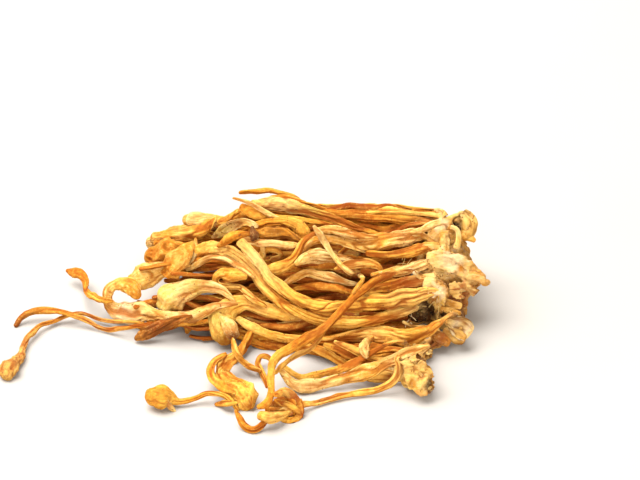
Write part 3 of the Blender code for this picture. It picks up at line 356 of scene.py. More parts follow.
        (-9.4, 13.6, 0.8), (-10.6, 14.4, 1.2), (-11.8, 14.4, 1.2), (-12.4, 13.2, 1.3),
        (-11.8, 11.6, 1.4), (-11.0, 10.0, 1.2), (-10.6, 8.6, 0.8))),
    "underhung_stalk": ("orange", 0.7, 0.7, 0.0, (
        (-17.2, 17.2, 1.2), (-16.8, 15.8, 1.4), (-16.0, 14.2, 1.4), (-14.6, 13.0, 1.4),
        (-13.2, 12.2, 1.0))),
    "crumpled_club": ("yellow", 0.45, 0.6, 0.0, (
        (-15.4, 16.6, 1.4), (-16.0, 15.4, 2.0), (-17.0, 14.2, 2.4), (-18.6, 13.0, 3.2),
        (-19.8, 11.6, 4.2), (-18.8, 9.8, 4.6), (-16.6, 8.4, 4.8), (-14.8, 6.8, 5.0),
        (-13.8, 5.4, 3.4))),
    "round_club_stalk": ("orange", 0.8, 0.75, 0.0, (
        (-16.4, 4.6, 0.8), (-17.4, 6.0, 1.2), (-18.8, 7.0, 1.2), (-20.6, 7.4, 1.2),
        (-22.6, 7.4, 1.3), (-24.4, 6.6, 1.3), (-26.2, 6.0, 1.4), (-28.0, 5.8, 1.6),
        (-29.4, 6.4, 3.0), (-31.2, 6.8, 4.8), (-32.8, 6.8, 4.0))),
    "floor_loop_stalk": ("orange", 0.8, 0.8, 0.0, (
        (-10.4, 5.0, 1.0), (-10.2, 3.2, 1.4), (-11.2, 1.6, 1.6), (-13.0, 0.8, 1.6),
        (-14.6, 1.4, 1.6), (-15.8, 3.0, 1.4), (-16.4, 4.2, 0.8))),
    "forked_side_stalk": ("yellow", 0.7, 0.7, 0.8, (
        (0.4, 18.8, 1.0), (-0.4, 17.8, 1.2), (-1.4, 16.6, 1.2), (-2.8, 15.6, 1.2),
        (-4.6, 14.8, 1.3), (-6.4, 13.6, 1.2), (-7.8, 12.6, 1.2), (-8.8, 11.4, 0.8))),
    "long_ribbon_stalk": ("orange", 0.5, 0.6, 0.6, (
        (15.6, 31.2, 0.8), (14.0, 30.6, 1.6), (12.0, 29.8, 1.8), (9.6, 28.4, 1.8),
        (7.4, 26.6, 1.8), (5.2, 24.4, 1.8), (3.0, 22.2, 1.9), (0.8, 20.2, 2.2),
        (-1.6, 18.6, 2.4), (-4.0, 17.2, 2.2), (-6.2, 16.0, 2.0), (-8.2, 14.6, 1.8),
        (-9.4, 12.8, 1.8), (-9.8, 10.6, 1.6), (-9.6, 8.4, 1.6), (-9.8, 6.6, 1.8),
        (-10.8, 5.4, 1.6), (-12.0, 5.0, 1.0))),
    "far_lower_stalk": ("orange", 0.9, 0.8, -3.0, (
        (-36.0, 21.0, 0.8), (-39.0, 21.1, 0.8), (-42.0, 21.2, 0.9), (-44.6, 21.6, 0.9),
        (-46.8, 22.4, 0.9), (-48.6, 22.9, 0.9), (-50.0, 22.7, 0.9), (-51.8, 22.0, 0.9),
        (-54.0, 21.0, 1.0), (-56.0, 20.4, 1.1), (-57.4, 19.4, 1.2), (-58.6, 18.0, 1.2),
        (-59.2, 16.2, 1.4), (-59.6, 14.6, 1.6), (-60.6, 13.2, 2.8), (-61.6, 12.0, 3.8),
        (-62.2, 11.0, 2.8))),
    "far_upper_stalk": ("orange", 0.8, 0.8, -1.0, (
        (-34.0, 21.0, 0.8), (-37.0, 20.4, 1.0), (-40.0, 19.8, 1.1), (-42.4, 19.6, 1.2),
        (-44.6, 20.2, 1.2), (-46.8, 21.4, 1.3), (-49.0, 22.3, 1.2), (-51.2, 22.9, 1.2),
        (-53.6, 23.3, 1.4), (-56.0, 23.4, 1.6), (-58.2, 23.0, 1.6), (-60.0, 22.0, 1.4),
        (-61.2, 20.4, 1.0))),
}

# The same for the stalks of the back face, on the sheet that faces back.
BACK_ROUTES = {
    "back_slanting_stalk": ("deep", 0.7, 0.8, -5.2, (
        (24.0, 9.0, 2.0), (15.0, 9.6, 2.2), (8.0, 11.2, 2.2), (1.0, 12.4, 2.2), (-6.0, 12.0, 2.0),
        (-13.0, 10.8, 2.0), (-19.0, 10.2, 2.2), (-24.0, 9.4, 3.0), (-27.0, 9.0, 2.2))),
    "back_low_crossing_stalk": ("orange", 0.7, 0.75, -8.8, (
        (24.0, 14.4, 2.2), (17.0, 15.2, 2.4), (10.0, 16.2, 2.4), (4.0, 16.0, 2.2), (-2.0, 15.2, 2.2),
        (-8.0, 15.0, 2.4), (-13.0, 15.6, 3.0), (-16.0, 16.0, 2.2))),
    "back_upper_stalk": ("orange", 0.6, 0.7, 0.0, (
        (24.0, 14.6, 2.6), (13.0, 15.2, 3.0), (6.0, 14.8, 2.8), (0.0, 15.4, 2.6), (-7.0, 15.6, 2.4),
        (-14.0, 14.4, 2.2), (-20.0, 13.0, 2.6), (-25.0, 12.0, 4.2), (-28.0, 11.6, 3.4))),
    "back_middle_stalk": ("yellow", 0.6, 0.75, 0.0, (
        (24.0, 11.4, 2.8), (12.0, 11.6, 3.0), (4.0, 12.0, 3.0), (-4.0, 11.4, 2.6), (-12.0, 11.0, 2.4),
        (-20.0, 9.8, 2.6), (-27.0, 8.6, 4.0), (-31.0, 8.0, 4.6), (-33.4, 7.6, 3.2))),
    "back_lower_stalk": ("orange", 0.6, 0.7, 0.0, (
        (24.0, 7.2, 2.8), (12.0, 8.0, 3.0), (4.0, 7.6, 2.8), (-4.0, 8.2, 2.6), (-12.0, 7.4, 2.4),
        (-19.0, 6.2, 2.8), (-24.0, 5.4, 3.8), (-27.0, 5.0, 2.8))),
    "back_foot_stalk": ("pale", 0.7, 0.75, 0.0, (
        (24.0, 2.6, 2.6), (12.0, 3.2, 2.8), (4.0, 3.8, 2.6), (-4.0, 3.0, 2.4), (-12.0, 2.4, 2.4),
        (-20.0, 2.6, 2.6), (-28.0, 2.2, 3.8), (-32.0, 2.0, 4.4), (-34.6, 1.8, 3.0))),
    "back_crest_stalk": ("yellow", 0.6, 0.7, 0.0, (
        (24.0, 17.2, 2.2), (14.0, 18.0, 2.6), (8.0, 17.2, 2.4), (2.0, 17.6, 2.2), (-5.0, 18.4, 2.0),
        (-11.0, 17.8, 2.2), (-17.0, 16.8, 3.2), (-20.0, 16.2, 2.4))),
    "back_crossing_stalk": ("orange", 0.7, 0.7, 0.0, (
        (24.0, 9.4, 1.8), (14.0, 10.6, 2.0), (8.0, 12.6, 2.0), (2.0, 14.2, 1.8), (-4.0, 16.2, 1.8),
        (-9.0, 17.8, 1.6), (-13.0, 18.8, 1.8), (-16.0, 19.2, 1.2))),
    "back_bowed_stalk": ("pale", 0.65, 0.75, 0.0, (
        (24.0, 12.8, 2.0), (15.0, 13.4, 2.2), (9.0, 11.8, 2.2), (3.0, 9.6, 2.0), (-3.0, 8.4, 1.8),
        (-9.0, 8.8, 1.8), (-14.0, 10.2, 1.8), (-19.0, 12.0, 2.4), (-23.0, 13.4, 4.0), (-26.0, 14.0, 3.2))),
    "back_sagging_stalk": ("yellow", 0.65, 0.75, 0.0, (
        (24.0, 16.0, 1.8), (16.0, 15.4, 2.0), (10.0, 16.6, 2.0), (4.0, 16.0, 1.8), (-2.0, 13.8, 1.8),
        (-8.0, 12.8, 1.8), (-14.0, 12.4, 1.6), (-19.0, 10.8, 2.0), (-24.0, 9.4, 3.4), (-27.0, 8.8, 2.8))),
}

# Lobes of the butt on the front sheet: (across, up, lift, half width, half height, half depth).
FRONT_LOBES = {
    "crown": (28.0, 40.0, -0.6, 2.8, 3.0, 2.8),
    "neck": (25.4, 36.4, -0.6, 1.9, 2.4, 2.2),
    "upper_skin": (26.0, 32.2, -0.8, 4.0, 2.8, 3.0),
    "right_knob": (30.8, 29.6, -0.8, 2.4, 1.8, 2.2),
    "left_ridge": (22.6, 30.8, -1.0, 3.2, 2.2, 2.4),
    "white_lump": (23.6, 26.8, -0.6, 2.0, 2.8, 2.4),
    "right_lower_knob": (28.6, 27.6, -1.2, 2.6, 1.8, 2.2),
    "core": (24.6, 24.6, -1.6, 3.4, 3.6, 3.6),
    "dark_pocket": (21.4, 22.6, -1.2, 2.4, 2.2, 2.4),
    "fan": (27.4, 19.6, 0.0, 2.2, 2.4, 1.8),
    "lower_knob": (23.4, 17.6, 0.0, 1.9, 2.0, 2.6),
    "low_bridge": (20.8, 15.6, 1.2, 2.0, 2.0, 2.8),
    "link": (19.2, 13.4, 2.0, 2.0, 2.2, 3.4),
    "lower_lobe": (18.9, 11.0, 3.0, 3.1, 3.1, 3.2),
    "cut_end": (20.9, 8.9, 2.0, 1.7, 1.6, 1.8),
}

# Lobes behind them: (across, back, height, radius).
BACK_LOBES = (
    (25.0, 37.0, 3.4, 4.6), (24.5, 43.0, 5.0, 5.4), (25.5, 45.5, 9.5, 5.0), (25.0, 49.0, 5.6, 5.2),
    (25.5, 47.5, 13.0, 4.0), (25.0, 51.0, 9.0, 4.4), (25.0, 53.0, 4.0, 4.2),
)

# Stalks whose root lies in front of the butt.
OVER_BUTT = ("lower_great_stalk", "great_low_stalk", "middle_great_stalk")


# Colours along each stalk from root to tip, and how strongly the whole skin is furrowed, curled
# into a gutter, and wrinkled toward the club: name: (colours, furrow, gutter, club wrinkles).
# The dark stops of the shaded stalks and of bottom_stalk are painted shade.
STALK_LOOKS = {
    "shaded_upper_stalk": ("ochre deep deep orange", 1.0, 0.2, 0.2),
    "shaded_middle_stalk": ("deep orange deep", 1.0, 0.1, 0.0),
    "long_upper_stalk": ("yellow orange orange yellow olive cream pale", 1.2, 0.3, 0.2, 0.7),
    "ribbed_upper_stalk": ("orange orange yellow orange", 1.0, 0.2, 0.2),
    "fine_upper_stalk": ("pale cream pale", 0.8, 0.0, 0.0),
    "elbow_stalk": ("orange orange yellow orange", 0.7, 0.1, 0.3),
    "buff_club": ("ochre orange ochre orange", 0.8, 0.1, 0.4, 0.4),
    "thick_crossing_stalk": ("cream pale cream yellow pale pale orange pale", 1.0, 0.1, 0.2),
    "under_crossing_stalk": ("ochre orange yellow orange", 1.0, 0.1, 0.0),
    "short_root_stalk": ("cream cream buff pale", 1.0, 0.0, 0.3),
    "crusted_stalk": ("pale buff pale", 1.1, 0.1, 0.6),
    "cream_crossbar": ("pale cream cream pale", 0.8, 0.2, 0.3),
    "broad_yellow_stalk": ("pale yellow orange yellow yellow", 1.0, 0.4, 0.1),
    "pale_ridged_stalk": ("cream cream cream pale", 1.3, 0.1, 0.2),
    "right_curl_stalk": ("yellow pale orange", 1.0, 0.5, 0.2),
    "cream_arch_stalk": ("cream cream pale orange", 1.3, 0.3, 0.2),
    "shaded_arch_stalk": ("orange deep orange", 1.0, 0.2, 0.0),
    "crest_stalk": ("cream cream cream yellow orange", 1.2, 0.2, 0.2),
    "stained_stalk": ("cream pale rust orange yellow pale", 1.2, 0.2, 0.0),
    "shaded_lower_stalk": ("deep orange deep deep", 1.0, 0.1, 0.0),
    "bottom_stalk": ("deep orange deep orange", 1.0, 0.1, 0.0),
    "fine_pale_stalk": ("pale cream pale", 0.8, 0.1, 0.0),
    "bent_club_stalk": ("pale yellow pale yellow olive ochre", 0.3, 0.1, 0.5, 0.9),
    "lower_great_stalk": ("cream orange yellow pale orange yellow yellow pale", 0.8, 0.2, 0.1),
    "middle_great_stalk": (
        "cream pale yellow yellow yellow yellow yellow pale pale pale orange ochre ochre",
        0.8, 0.2, 0.2, 1.25),
    "upper_great_stalk": ("yellow pale pale yellow yellow yellow yellow pale cream pale", 0.85, 0.3, 0.1),
    "side_strand": ("pale cream pale", 0.9, 0.2, 0.1),
    "rolled_club_stalk": ("yellow pale pale yellow orange yellow", 0.9, 0.2, 0.1),
    "pale_side_club": ("pale cream pale pale orange", 0.5, 0.0, 0.15, 0.5),
    "swollen_pale_club": ("pale cream cream olive cream pale olive", 0.5, 0.0, 0.15, 0.8),
    "hooked_club_stalk": (
        "pale cream pale cream cream pale cream white pale pale yellow orange", 0.7, 0.0, 0.6, 0.2),
    "stub_club": ("deep deep rust ochre", 1.0, 0.0, 0.9, 0.2),
    "orange_side_club": ("yellow orange orange deep", 0.8, 0.0, 0.2, 0.2),
    "low_diagonal_stalk": ("orange yellow orange", 1.0, 0.1, 0.0),
    "mid_diagonal_stalk": ("orange orange yellow", 1.0, 0.2, 0.0),
    "high_diagonal_stalk": ("orange yellow pale", 1.0, 0.2, 0.0),
    "lobe_flat_stalk": ("cream yellow pale", 1.0, 0.2, 0.2),
    "upper_low_stalk": ("yellow orange yellow yellow", 0.9, 0.2, 0.1),
    "great_low_stalk": ("cream pale cream yellow pale cream cream pale", 1.1, 0.3, 0.2),
    "thin_sweeping_stalk": ("yellow pale yellow yellow pale orange rust", 0.9, 0.2, 0.7, 1.3),
    "looped_stalk": ("orange yellow orange", 0.8, 0.2, 0.0),
    "underhung_stalk": ("orange orange yellow", 0.8, 0.2, 0.0),
    "crumpled_club": ("orange yellow ochre yellow orange yellow yellow", 0.9, 0.1, 0.6, 1.5),
    "round_club_stalk": ("orange yellow orange yellow orange", 0.8, 0.1, 0.4),
    "floor_loop_stalk": ("orange deep orange orange", 0.9, 0.2, 0.2),
    "forked_side_stalk": ("yellow pale yellow", 0.8, 0.1, 0.1),
    "long_ribbon_stalk": ("cream buff orange orange ochre orange yellow orange orange", 0.8, 0.4, 0.1),
    "far_lower_stalk": ("ochre buff ochre buff buff", 0.7, 0.0, 0.8, 0.4),
    "far_upper_stalk": ("ochre ochre buff ochre ochre brown", 0.9, 0.3, 0.2),
    "back_upper_stalk": ("pale yellow orange orange yellow", 1.2, 0.2, 0.8),
    "back_middle_stalk": ("cream pale yellow orange pale", 1.2, 0.2, 0.9),
    "back_lower_stalk": ("yellow orange deep orange yellow", 1.2, 0.2, 0.8),
    "back_foot_stalk": ("cream pale pale yellow cream", 1.2, 0.1, 0.9),
    "back_crest_stalk": ("pale yellow orange yellow", 1.2, 0.3, 0.7),
    "back_crossing_stalk": ("orange orange yellow orange", 1.0, 0.2, 0.2),
    "back_slanting_stalk": ("deep orange deep orange", 1.0, 0.2, 0.5),
    "back_bowed_stalk": ("cream pale cream yellow pale cream", 1.2, 0.2, 0.1, 0.6),
    "back_low_crossing_stalk": ("pale orange yellow orange", 1.1, 0.2, 0.3, 0.3),
    "back_sagging_stalk": ("pale yellow orange yellow pale", 1.1, 0.2, 0.1, 0.5),
}

SLOT_OF_TONE = {
    "deep": "amber_stalk", "orange": "amber_stalk", "yellow": "golden_stalk",
    "pale": "cream_stalk", "cream": "cream_stalk", "brown": "brown_stalk", "golden": "golden_stalk",
}

# Small strands that are part of the same cluster, laid when the others lie. Those over the rest
# lie on what they cross, and those under it keep their lift and show only in the gaps.
OVER_SPRIGS = {
    "thin_crossing_sprig": ("pale", 0.7, 0.7, 0.3, (
        (-0.8, 39.8, 1.0), (0.2, 38.4, 1.4), (1.2, 36.8, 1.4), (2.2, 35.2, 1.2), (3.4, 33.6, 1.2),
        (4.6, 32.2, 1.0), (6.0, 31.2, 1.2), (7.6, 30.6, 1.2), (8.6, 30.0, 1.0), (7.8, 28.6, 1.0),
        (6.6, 27.2, 1.0))),
    "small_leaf_sprig": ("pale", 0.5, 0.6, 0.6, (
        (10.6, 18.2, 0.8), (9.4, 17.4, 1.8), (8.8, 16.0, 2.4), (9.2, 14.6, 1.4))),
    "low_leaf_sprig": ("orange", 0.6, 0.7, 0.0, (
        (-17.0, 5.6, 1.0), (-18.8, 5.4, 1.6), (-20.4, 5.2, 1.0))),
    "bent_club_knob": ("pale", 0.9, 0.85, 0.6, (
        (-19.6, 22.2, 1.4), (-18.5, 21.0, 2.3), (-17.8, 19.9, 2.8), (-17.6, 19.0, 2.4))),
    "curled_orange_leaf": ("orange", 0.3, 0.6, 0.6, (
        (-13.8, 38.9, 0.8), (-15.6, 38.9, 1.6), (-17.6, 38.1, 2.2), (-19.4, 37.2, 1.6), (-20.6, 36.4, 0.7))),
    "curled_pale_leaf": ("cream", 0.4, 0.6, 0.9, (
        (-13.2, 40.6, 1.2), (-15.2, 41.2, 2.0), (-17.2, 40.8, 2.5), (-19.0, 39.8, 2.6), (-20.6, 38.8, 1.8),
        (-21.8, 38.2, 0.7))),
    "upper_left_leaf": ("golden", 0.4, 0.6, 0.6, (
        (-21.4, 41.8, 1.0), (-22.8, 40.6, 2.4), (-24.2, 39.6, 3.4), (-26.6, 39.2, 2.8), (-30.0, 39.0, 1.6),
        (-33.6, 38.6, 1.4))),
    "lower_club_leaf": ("golden", 0.35, 0.4, 0.2, (
        (-26.2, 36.4, 1.8), (-27.4, 34.9, 4.0), (-28.8, 33.3, 5.2), (-30.2, 31.9, 4.6), (-31.1, 30.8, 2.4))),
    "stuck_seed": ("brown", 0.8, 0.9, 1.2, (
        (-13.5, 39.3, 1.3), (-13.3, 38.8, 2.0), (-13.4, 38.2, 1.8), (-13.6, 37.8, 1.0))),
    "hanging_strand": ("pale", 0.7, 0.7, 0.4, (
        (-17.2, 17.4, 1.1), (-16.9, 15.8, 1.3), (-16.0, 14.2, 1.4), (-14.6, 13.0, 1.4), (-13.2, 12.2, 1.3),
        (-12.0, 11.6, 0.9))),
    "knot_leaf_upper": ("orange", 0.35, 0.5, 0.5, (
        (-3.8, 4.9, 1.0), (-5.0, 6.4, 2.0), (-6.9, 7.8, 2.2), (-8.8, 7.4, 1.0))),
    "knot_leaf_left": ("yellow", 0.5, 0.7, 0.4, (
        (-5.8, 4.2, 1.2), (-7.6, 3.4, 2.2), (-9.6, 3.0, 2.6), (-11.6, 3.3, 1.8))),
    "knot_leaf_low": ("orange", 0.35, 0.5, 0.7, (
        (-3.8, 5.8, 0.8), (-3.9, 4.0, 1.4), (-4.8, 2.6, 1.5), (-6.6, 2.2, 1.3), (-8.2, 3.0, 0.8))),
    "club_spout": ("cream", 0.5, 0.5, 0.6, (
        (-31.2, 7.0, 0.9), (-30.0, 5.6, 1.5), (-29.0, 4.5, 1.2), (-28.5, 4.0, 0.6))),
    "club_margin_fold": ("golden", 0.3, 0.4, 0.3, (
        (-25.2, 37.4, 0.8), (-25.3, 36.0, 1.4), (-25.9, 34.4, 1.7), (-27.2, 32.8, 1.6), (-28.9, 31.6, 1.0))),
    "crumpled_edge": ("orange", 0.4, 0.4, 0.4, (
        (-19.2, 14.8, 0.9), (-20.8, 13.8, 1.5), (-21.7, 12.0, 1.7), (-20.8, 10.0, 1.9), (-18.8, 8.5, 1.7),
        (-16.8, 7.7, 0.9))),
    "knot_strap_across": ("orange", 0.45, 0.6, 0.4, (
        (-8.6, 6.4, 0.8), (-7.2, 5.6, 1.4), (-5.6, 5.0, 1.5), (-4.2, 3.9, 1.3), (-3.6, 2.9, 0.7))),
    "knot_strap_steep": ("yellow", 0.45, 0.6, 0.4, (
        (-6.8, 8.4, 0.7), (-6.4, 7.0, 1.3), (-5.4, 5.9, 1.4), (-5.2, 4.4, 1.1), (-6.0, 3.2, 0.7))),
    "knot_strap_low": ("pale", 0.45, 0.6, 0.3, (
        (-9.6, 4.8, 0.8), (-8.2, 4.4, 1.2), (-6.9, 4.6, 1.3), (-5.6, 3.6, 1.0))),
}

# Sprigs that are pressed deeper into what they lie on, in mm.
PRESSED_SPRIGS = {"bent_club_knob": 1.8, "club_spout": 1.3, "stuck_seed": 1.0, "club_margin_fold": 1.2}

UNDER_SPRIGS = {
    "top_right_gap_strand": ("orange", 0.7, 0.7, -1.7, (
        (22.0, 41.2, 1.6), (17.0, 42.0, 2.4), (11.0, 42.3, 2.6), (5.0, 42.7, 2.2), (0.0, 43.0, 1.6))),
    "upper_gap_strand": ("orange", 0.7, 0.7, -2.0, (
        (-10.0, 40.4, 1.6), (-15.0, 39.6, 2.2), (-20.0, 38.4, 2.6), (-25.0, 37.4, 2.8), (-30.0, 37.0, 2.4),
        (-33.4, 36.8, 1.4))),
    "top_gap_strand": ("orange", 0.7, 0.7, -1.8, (
        (-6.0, 42.6, 1.6), (-11.0, 42.4, 2.2), (-16.0, 41.8, 2.4), (-20.0, 41.2, 2.0), (-24.0, 40.2, 1.4))),
    "middle_gap_strand": ("orange", 0.7, 0.7, -2.4, (
        (-14.0, 30.6, 1.6), (-20.0, 30.0, 2.4), (-26.0, 28.4, 2.6), (-31.0, 27.6, 1.8))),
    "inner_loop_sprig": ("pale", 0.6, 0.6, -0.6, (
        (-11.6, 36.0, 1.0), (-11.6, 34.6, 1.3), (-12.0, 33.2, 1.3), (-12.2, 32.0, 0.8))),
    "inner_curl_sprig": ("yellow", 0.6, 0.6, -0.8, (
        (-11.6, 32.4, 1.0), (-12.0, 34.4, 1.2), (-10.8, 35.6, 1.2), (-8.8, 35.6, 1.2),
        (-7.6, 34.6, 1.2), (-9.6, 33.8, 1.4))),
    "crumpled_root_strand": ("orange", 0.7, 0.7, -0.3, (
        (-13.4, 20.0, 1.4), (-14.6, 17.4, 2.0), (-16.2, 14.8, 1.8), (-17.0, 13.4, 1.2))),
    "low_gap_strand": ("orange", 0.7, 0.7, -1.2, (
        (18.0, 17.6, 2.0), (12.0, 16.2, 2.6), (5.0, 16.0, 2.6), (-2.0, 17.0, 2.4), (-8.0, 17.4, 2.4),
        (-14.0, 18.4, 2.0), (-18.0, 20.0, 1.6))),
    "low_back_strand": ("orange", 0.7, 0.7, -2.2, (
        (20.0, 15.2, 2.0), (13.0, 15.0, 2.8), (6.0, 14.6, 2.6), (-1.0, 15.6, 2.2), (-6.0, 16.4, 1.6))),
    "hidden_cross_sprig": ("orange", 0.6, 0.6, -1.0, (
        (-24.2, 29.0, 1.2), (-26.0, 30.4, 1.6), (-27.8, 31.6, 1.6), (-29.2, 32.6, 1.0))),
    "seen_through_sprig": ("yellow", 0.6, 0.6, -1.5, (
        (-16.4, 24.2, 1.0), (-19.6, 25.2, 1.4), (-22.4, 25.8, 1.6), (-24.8, 25.8, 1.6),
        (-26.8, 25.2, 1.2))),
    "small_stub_sprig": ("orange", 0.8, 0.8, -2.0, (
        (-24.8, 22.2, 1.0), (-25.8, 21.0, 1.8), (-26.4, 20.0, 2.0), (-26.6, 19.2, 1.2))),
}

# The deep stops of the strands laid under the rest, which show only in the gaps, are painted shade.
SPRIG_LOOKS = {
    "upper_gap_strand": ("deep orange orange ochre orange", 0.9, 0.2, 0.3),
    "top_gap_strand": ("deep orange ochre orange", 0.9, 0.2, 0.3),
    "middle_gap_strand": ("deep deep orange orange", 0.9, 0.2, 0.3),
    "lower_club_leaf": ("ochre orange ochre ochre orange", 0.1, 0.1, 0.9, 1.1),
    "thin_crossing_sprig": ("cream cream pale cream yellow orange", 0.6, 0.2, 0.0),
    "small_leaf_sprig": ("orange pale cream", 0.8, 0.1, 0.6),
    "low_leaf_sprig": ("yellow yellow orange", 0.8, 0.1, 0.3),
    "bent_club_knob": ("olive olive buff brown", 0.2, 0.0, 0.6, 0.9),
    "hanging_strand": ("orange yellow orange yellow", 0.8, 0.2, 0.0),
    "knot_leaf_upper": ("orange rust pale orange", 0.8, 0.9, 0.6, 0.8),
    "knot_leaf_left": ("rust yellow pale yellow", 0.7, 0.3, 0.5, 0.9),
    "knot_leaf_low": ("orange rust orange pale", 0.8, 0.9, 0.6, 0.8),
    "club_spout": ("pale cream cream", 0.8, 0.6, 0.1),
    "knot_strap_across": ("orange rust yellow deep", 0.8, 0.8, 0.5, 0.6),
    "knot_strap_steep": ("rust yellow orange rust", 0.8, 0.8, 0.5, 0.6),
    "knot_strap_low": ("yellow pale rust", 0.8, 0.6, 0.5, 0.6),
    "club_margin_fold": ("ochre buff grey buff ochre", 0.1, 0.2, 0.8, 0.9),
    "crumpled_edge": ("orange yellow orange yellow orange yellow", 0.9, 0.8, 0.7, 1.4),
    "top_right_gap_strand": ("deep orange deep orange", 0.9, 0.2, 0.3),
    "curled_orange_leaf": ("rust orange orange deep", 0.5, 0.9, 0.2),
    "curled_pale_leaf": ("cream pale cream olive cream", 0.8, 0.9, 0.4, 0.9),
    "upper_left_leaf": ("orange yellow yellow pale orange pale", 0.7, 0.8, 0.2, 0.3),
    "stuck_seed": ("soil brown soil", 0.4, 0.0, 0.6),
    "crumpled_root_strand": ("deep orange deep orange", 1.0, 0.3, 0.3),
    "low_gap_strand": ("deep orange deep orange deep", 1.0, 0.3, 0.2),
    "low_back_strand": ("deep orange deep orange", 1.0, 0.3, 0.2),
    "inner_loop_sprig": ("pale yellow orange", 0.8, 0.1, 0.0),
    "inner_curl_sprig": ("orange yellow pale", 0.8, 0.2, 0.0),
    "hidden_cross_sprig": ("deep orange orange", 0.8, 0.1, 0.0),
    "seen_through_sprig": ("orange yellow orange", 0.8, 0.1, 0.0),
    "small_stub_sprig": ("orange orange ochre", 0.8, 0.0, 0.4),
}


# ---------------------------------------------------------------- laying the stalks

def run_along(places):
    """How far along a line of places each one is."""
    return np.concatenate(((0.0,), np.cumsum(np.linalg.norm(np.diff(places, axis=0), axis=1))))


def unit_rows(rows):
    return rows / np.linalg.norm(rows, axis=1)[:, None]


class Stalk:
    """A stalk laid on a sheet, sampled from root to tip. Its whole length is kept as whole, and
    first is the sample of it at which the stalk leaves the butt."""

    def __init__(self, sheet, places, depth, half_width, half_thick):
        self.sheet = sheet
        self.places = places
        self.depth = depth
        self.half_width = half_width
        self.half_thick = half_thick
        self.whole = self
        self.first = 0

    def centres(self):
        return self.sheet.to_model(*self.places.T, self.depth)

    def seen_on(self, sheet):
        """The stalk as another sheet sees it, as round as it is wide."""
        if sheet is self.sheet:
            return self
        places, depth = sheet.from_model(self.centres())
        return Stalk(sheet, places, depth, self.half_width, self.half_width)

    def without_start(self, first):
        cut = Stalk(self.sheet, self.places[first:], self.depth[first:], self.half_width[first:],
                    self.half_thick[first:])
        cut.whole = self
        cut.first = first
        return cut


def smooth_through(points, step):
    """Rows sampled every step along a smooth curve through the points' first two columns."""
    points = np.asarray(points, float)
    knots = run_along(points[:, :2])
    slopes = np.gradient(points, knots, axis=0)
    count = max(int(knots[-1] / (FINE_SHARE_OF_STEP * step)), 2 * FEWEST_SAMPLES)
    fine = np.linspace(0.0, knots[-1], count)
    span = np.clip(np.searchsorted(knots, fine, side="right") - 1, 0, len(knots) - 2)
    length = (knots[span + 1] - knots[span])[:, None]
    t = (fine - knots[span])[:, None] / length
    rows = ((2 * t ** 3 - 3 * t ** 2 + 1) * points[span]
            + (t ** 3 - 2 * t ** 2 + t) * length * slopes[span]
            + (3 * t ** 2 - 2 * t ** 3) * points[span + 1]
            + (t ** 3 - t ** 2) * length * slopes[span + 1])
    run = run_along(rows[:, :2])
    count = max(int(round(run[-1] / step)), FEWEST_SAMPLES) + 1
    even = np.linspace(0.0, run[-1], count)
    return np.column_stack([np.interp(even, run, column) for column in rows.T])


def bend_radius(places):
    """Radius in mm of the route's bend on the sheet, at each sample."""
    first = np.gradient(places, axis=0)
    second = np.gradient(first, axis=0)
    turn = np.abs(first[:, 0] * second[:, 1] - first[:, 1] * second[:, 0])
    return np.linalg.norm(first, axis=1) ** 3 / np.maximum(turn, STRAIGHTEST)


def least_over_table(sheet, places, half_width, half_thick):
    """Depth below which a flattened stalk would go through the floor."""
    run = np.gradient(places, axis=0)
    level = np.abs(run[:, 0]) / np.linalg.norm(run, axis=1)
    reach = np.hypot(half_width * level * sheet.up[2], half_thick * sheet.toward[2])
    return sheet.depth_at_height(places[:, 1], reach * TABLE_ALLOWANCE)


def least_over_stalk(laid, places, half_width, half_thick):
    """Depth that clears one laid stalk, or minus infinity where it is out of reach."""
    apart = np.linalg.norm(places[:, None] - laid.places[None], axis=2)
    reach = half_width[:, None] + laid.half_width[None] + GAP
    stack = half_thick[:, None] + laid.half_thick[None] + GAP
    rise = stack * np.sqrt(np.maximum(1.0 - (apart / reach) ** 2, 0.0))
    return np.where(apart < reach, laid.depth[None] + rise, -np.inf).max(axis=1)


def settle(wanted, least, rounds=SETTLE_ROUNDS):
    """Eases a depth line down to a smooth one that nowhere goes below the least depth."""
    depth = np.maximum(wanted, least)
    for _ in range(rounds):
        beside = np.concatenate((depth[:1], depth[:-1])) + np.concatenate((depth[1:], depth[-1:]))
        depth = np.maximum(least, 0.5 * depth + 0.25 * beside)
    return depth


def front_lobe_depth(lobe):
    """Depth on the front sheet of a lobe's centre."""
    across, up, lift = lobe[:3]
    return float(FRONT.depth_at_height(up, front_height(across, up) + lift))


def lobes():
    """Every lobe as its centre, the axes of its radii, and its radii, in mm of the model."""
    sheet_axes = np.array(((1.0, 0.0, 0.0), FRONT.up, FRONT.toward))
    found = []
    for lobe in FRONT_LOBES.values():
        depth = np.array((front_lobe_depth(lobe),))
        centre = FRONT.to_model(np.array(lobe[:1]), np.array(lobe[1:2]), depth)[0]
        found.append((centre, sheet_axes, np.array(lobe[3:])))
    for *place, radius in BACK_LOBES:
        found.append((np.array(place) - ORIGIN, np.eye(3), np.full(3, radius)))
    return found


def front_lobes_as_stalks():
    """The front lobes as one-sample stalks, so that routes can be laid over them."""
    return [Stalk(FRONT, np.array((lobe[:2],)), np.array((front_lobe_depth(lobe),)),
                  np.array((0.5 * (lobe[3] + lobe[4]) + LOBE_MARGIN,)), np.array((lobe[5] + LOBE_MARGIN,)))
            for lobe in FRONT_LOBES.values()]


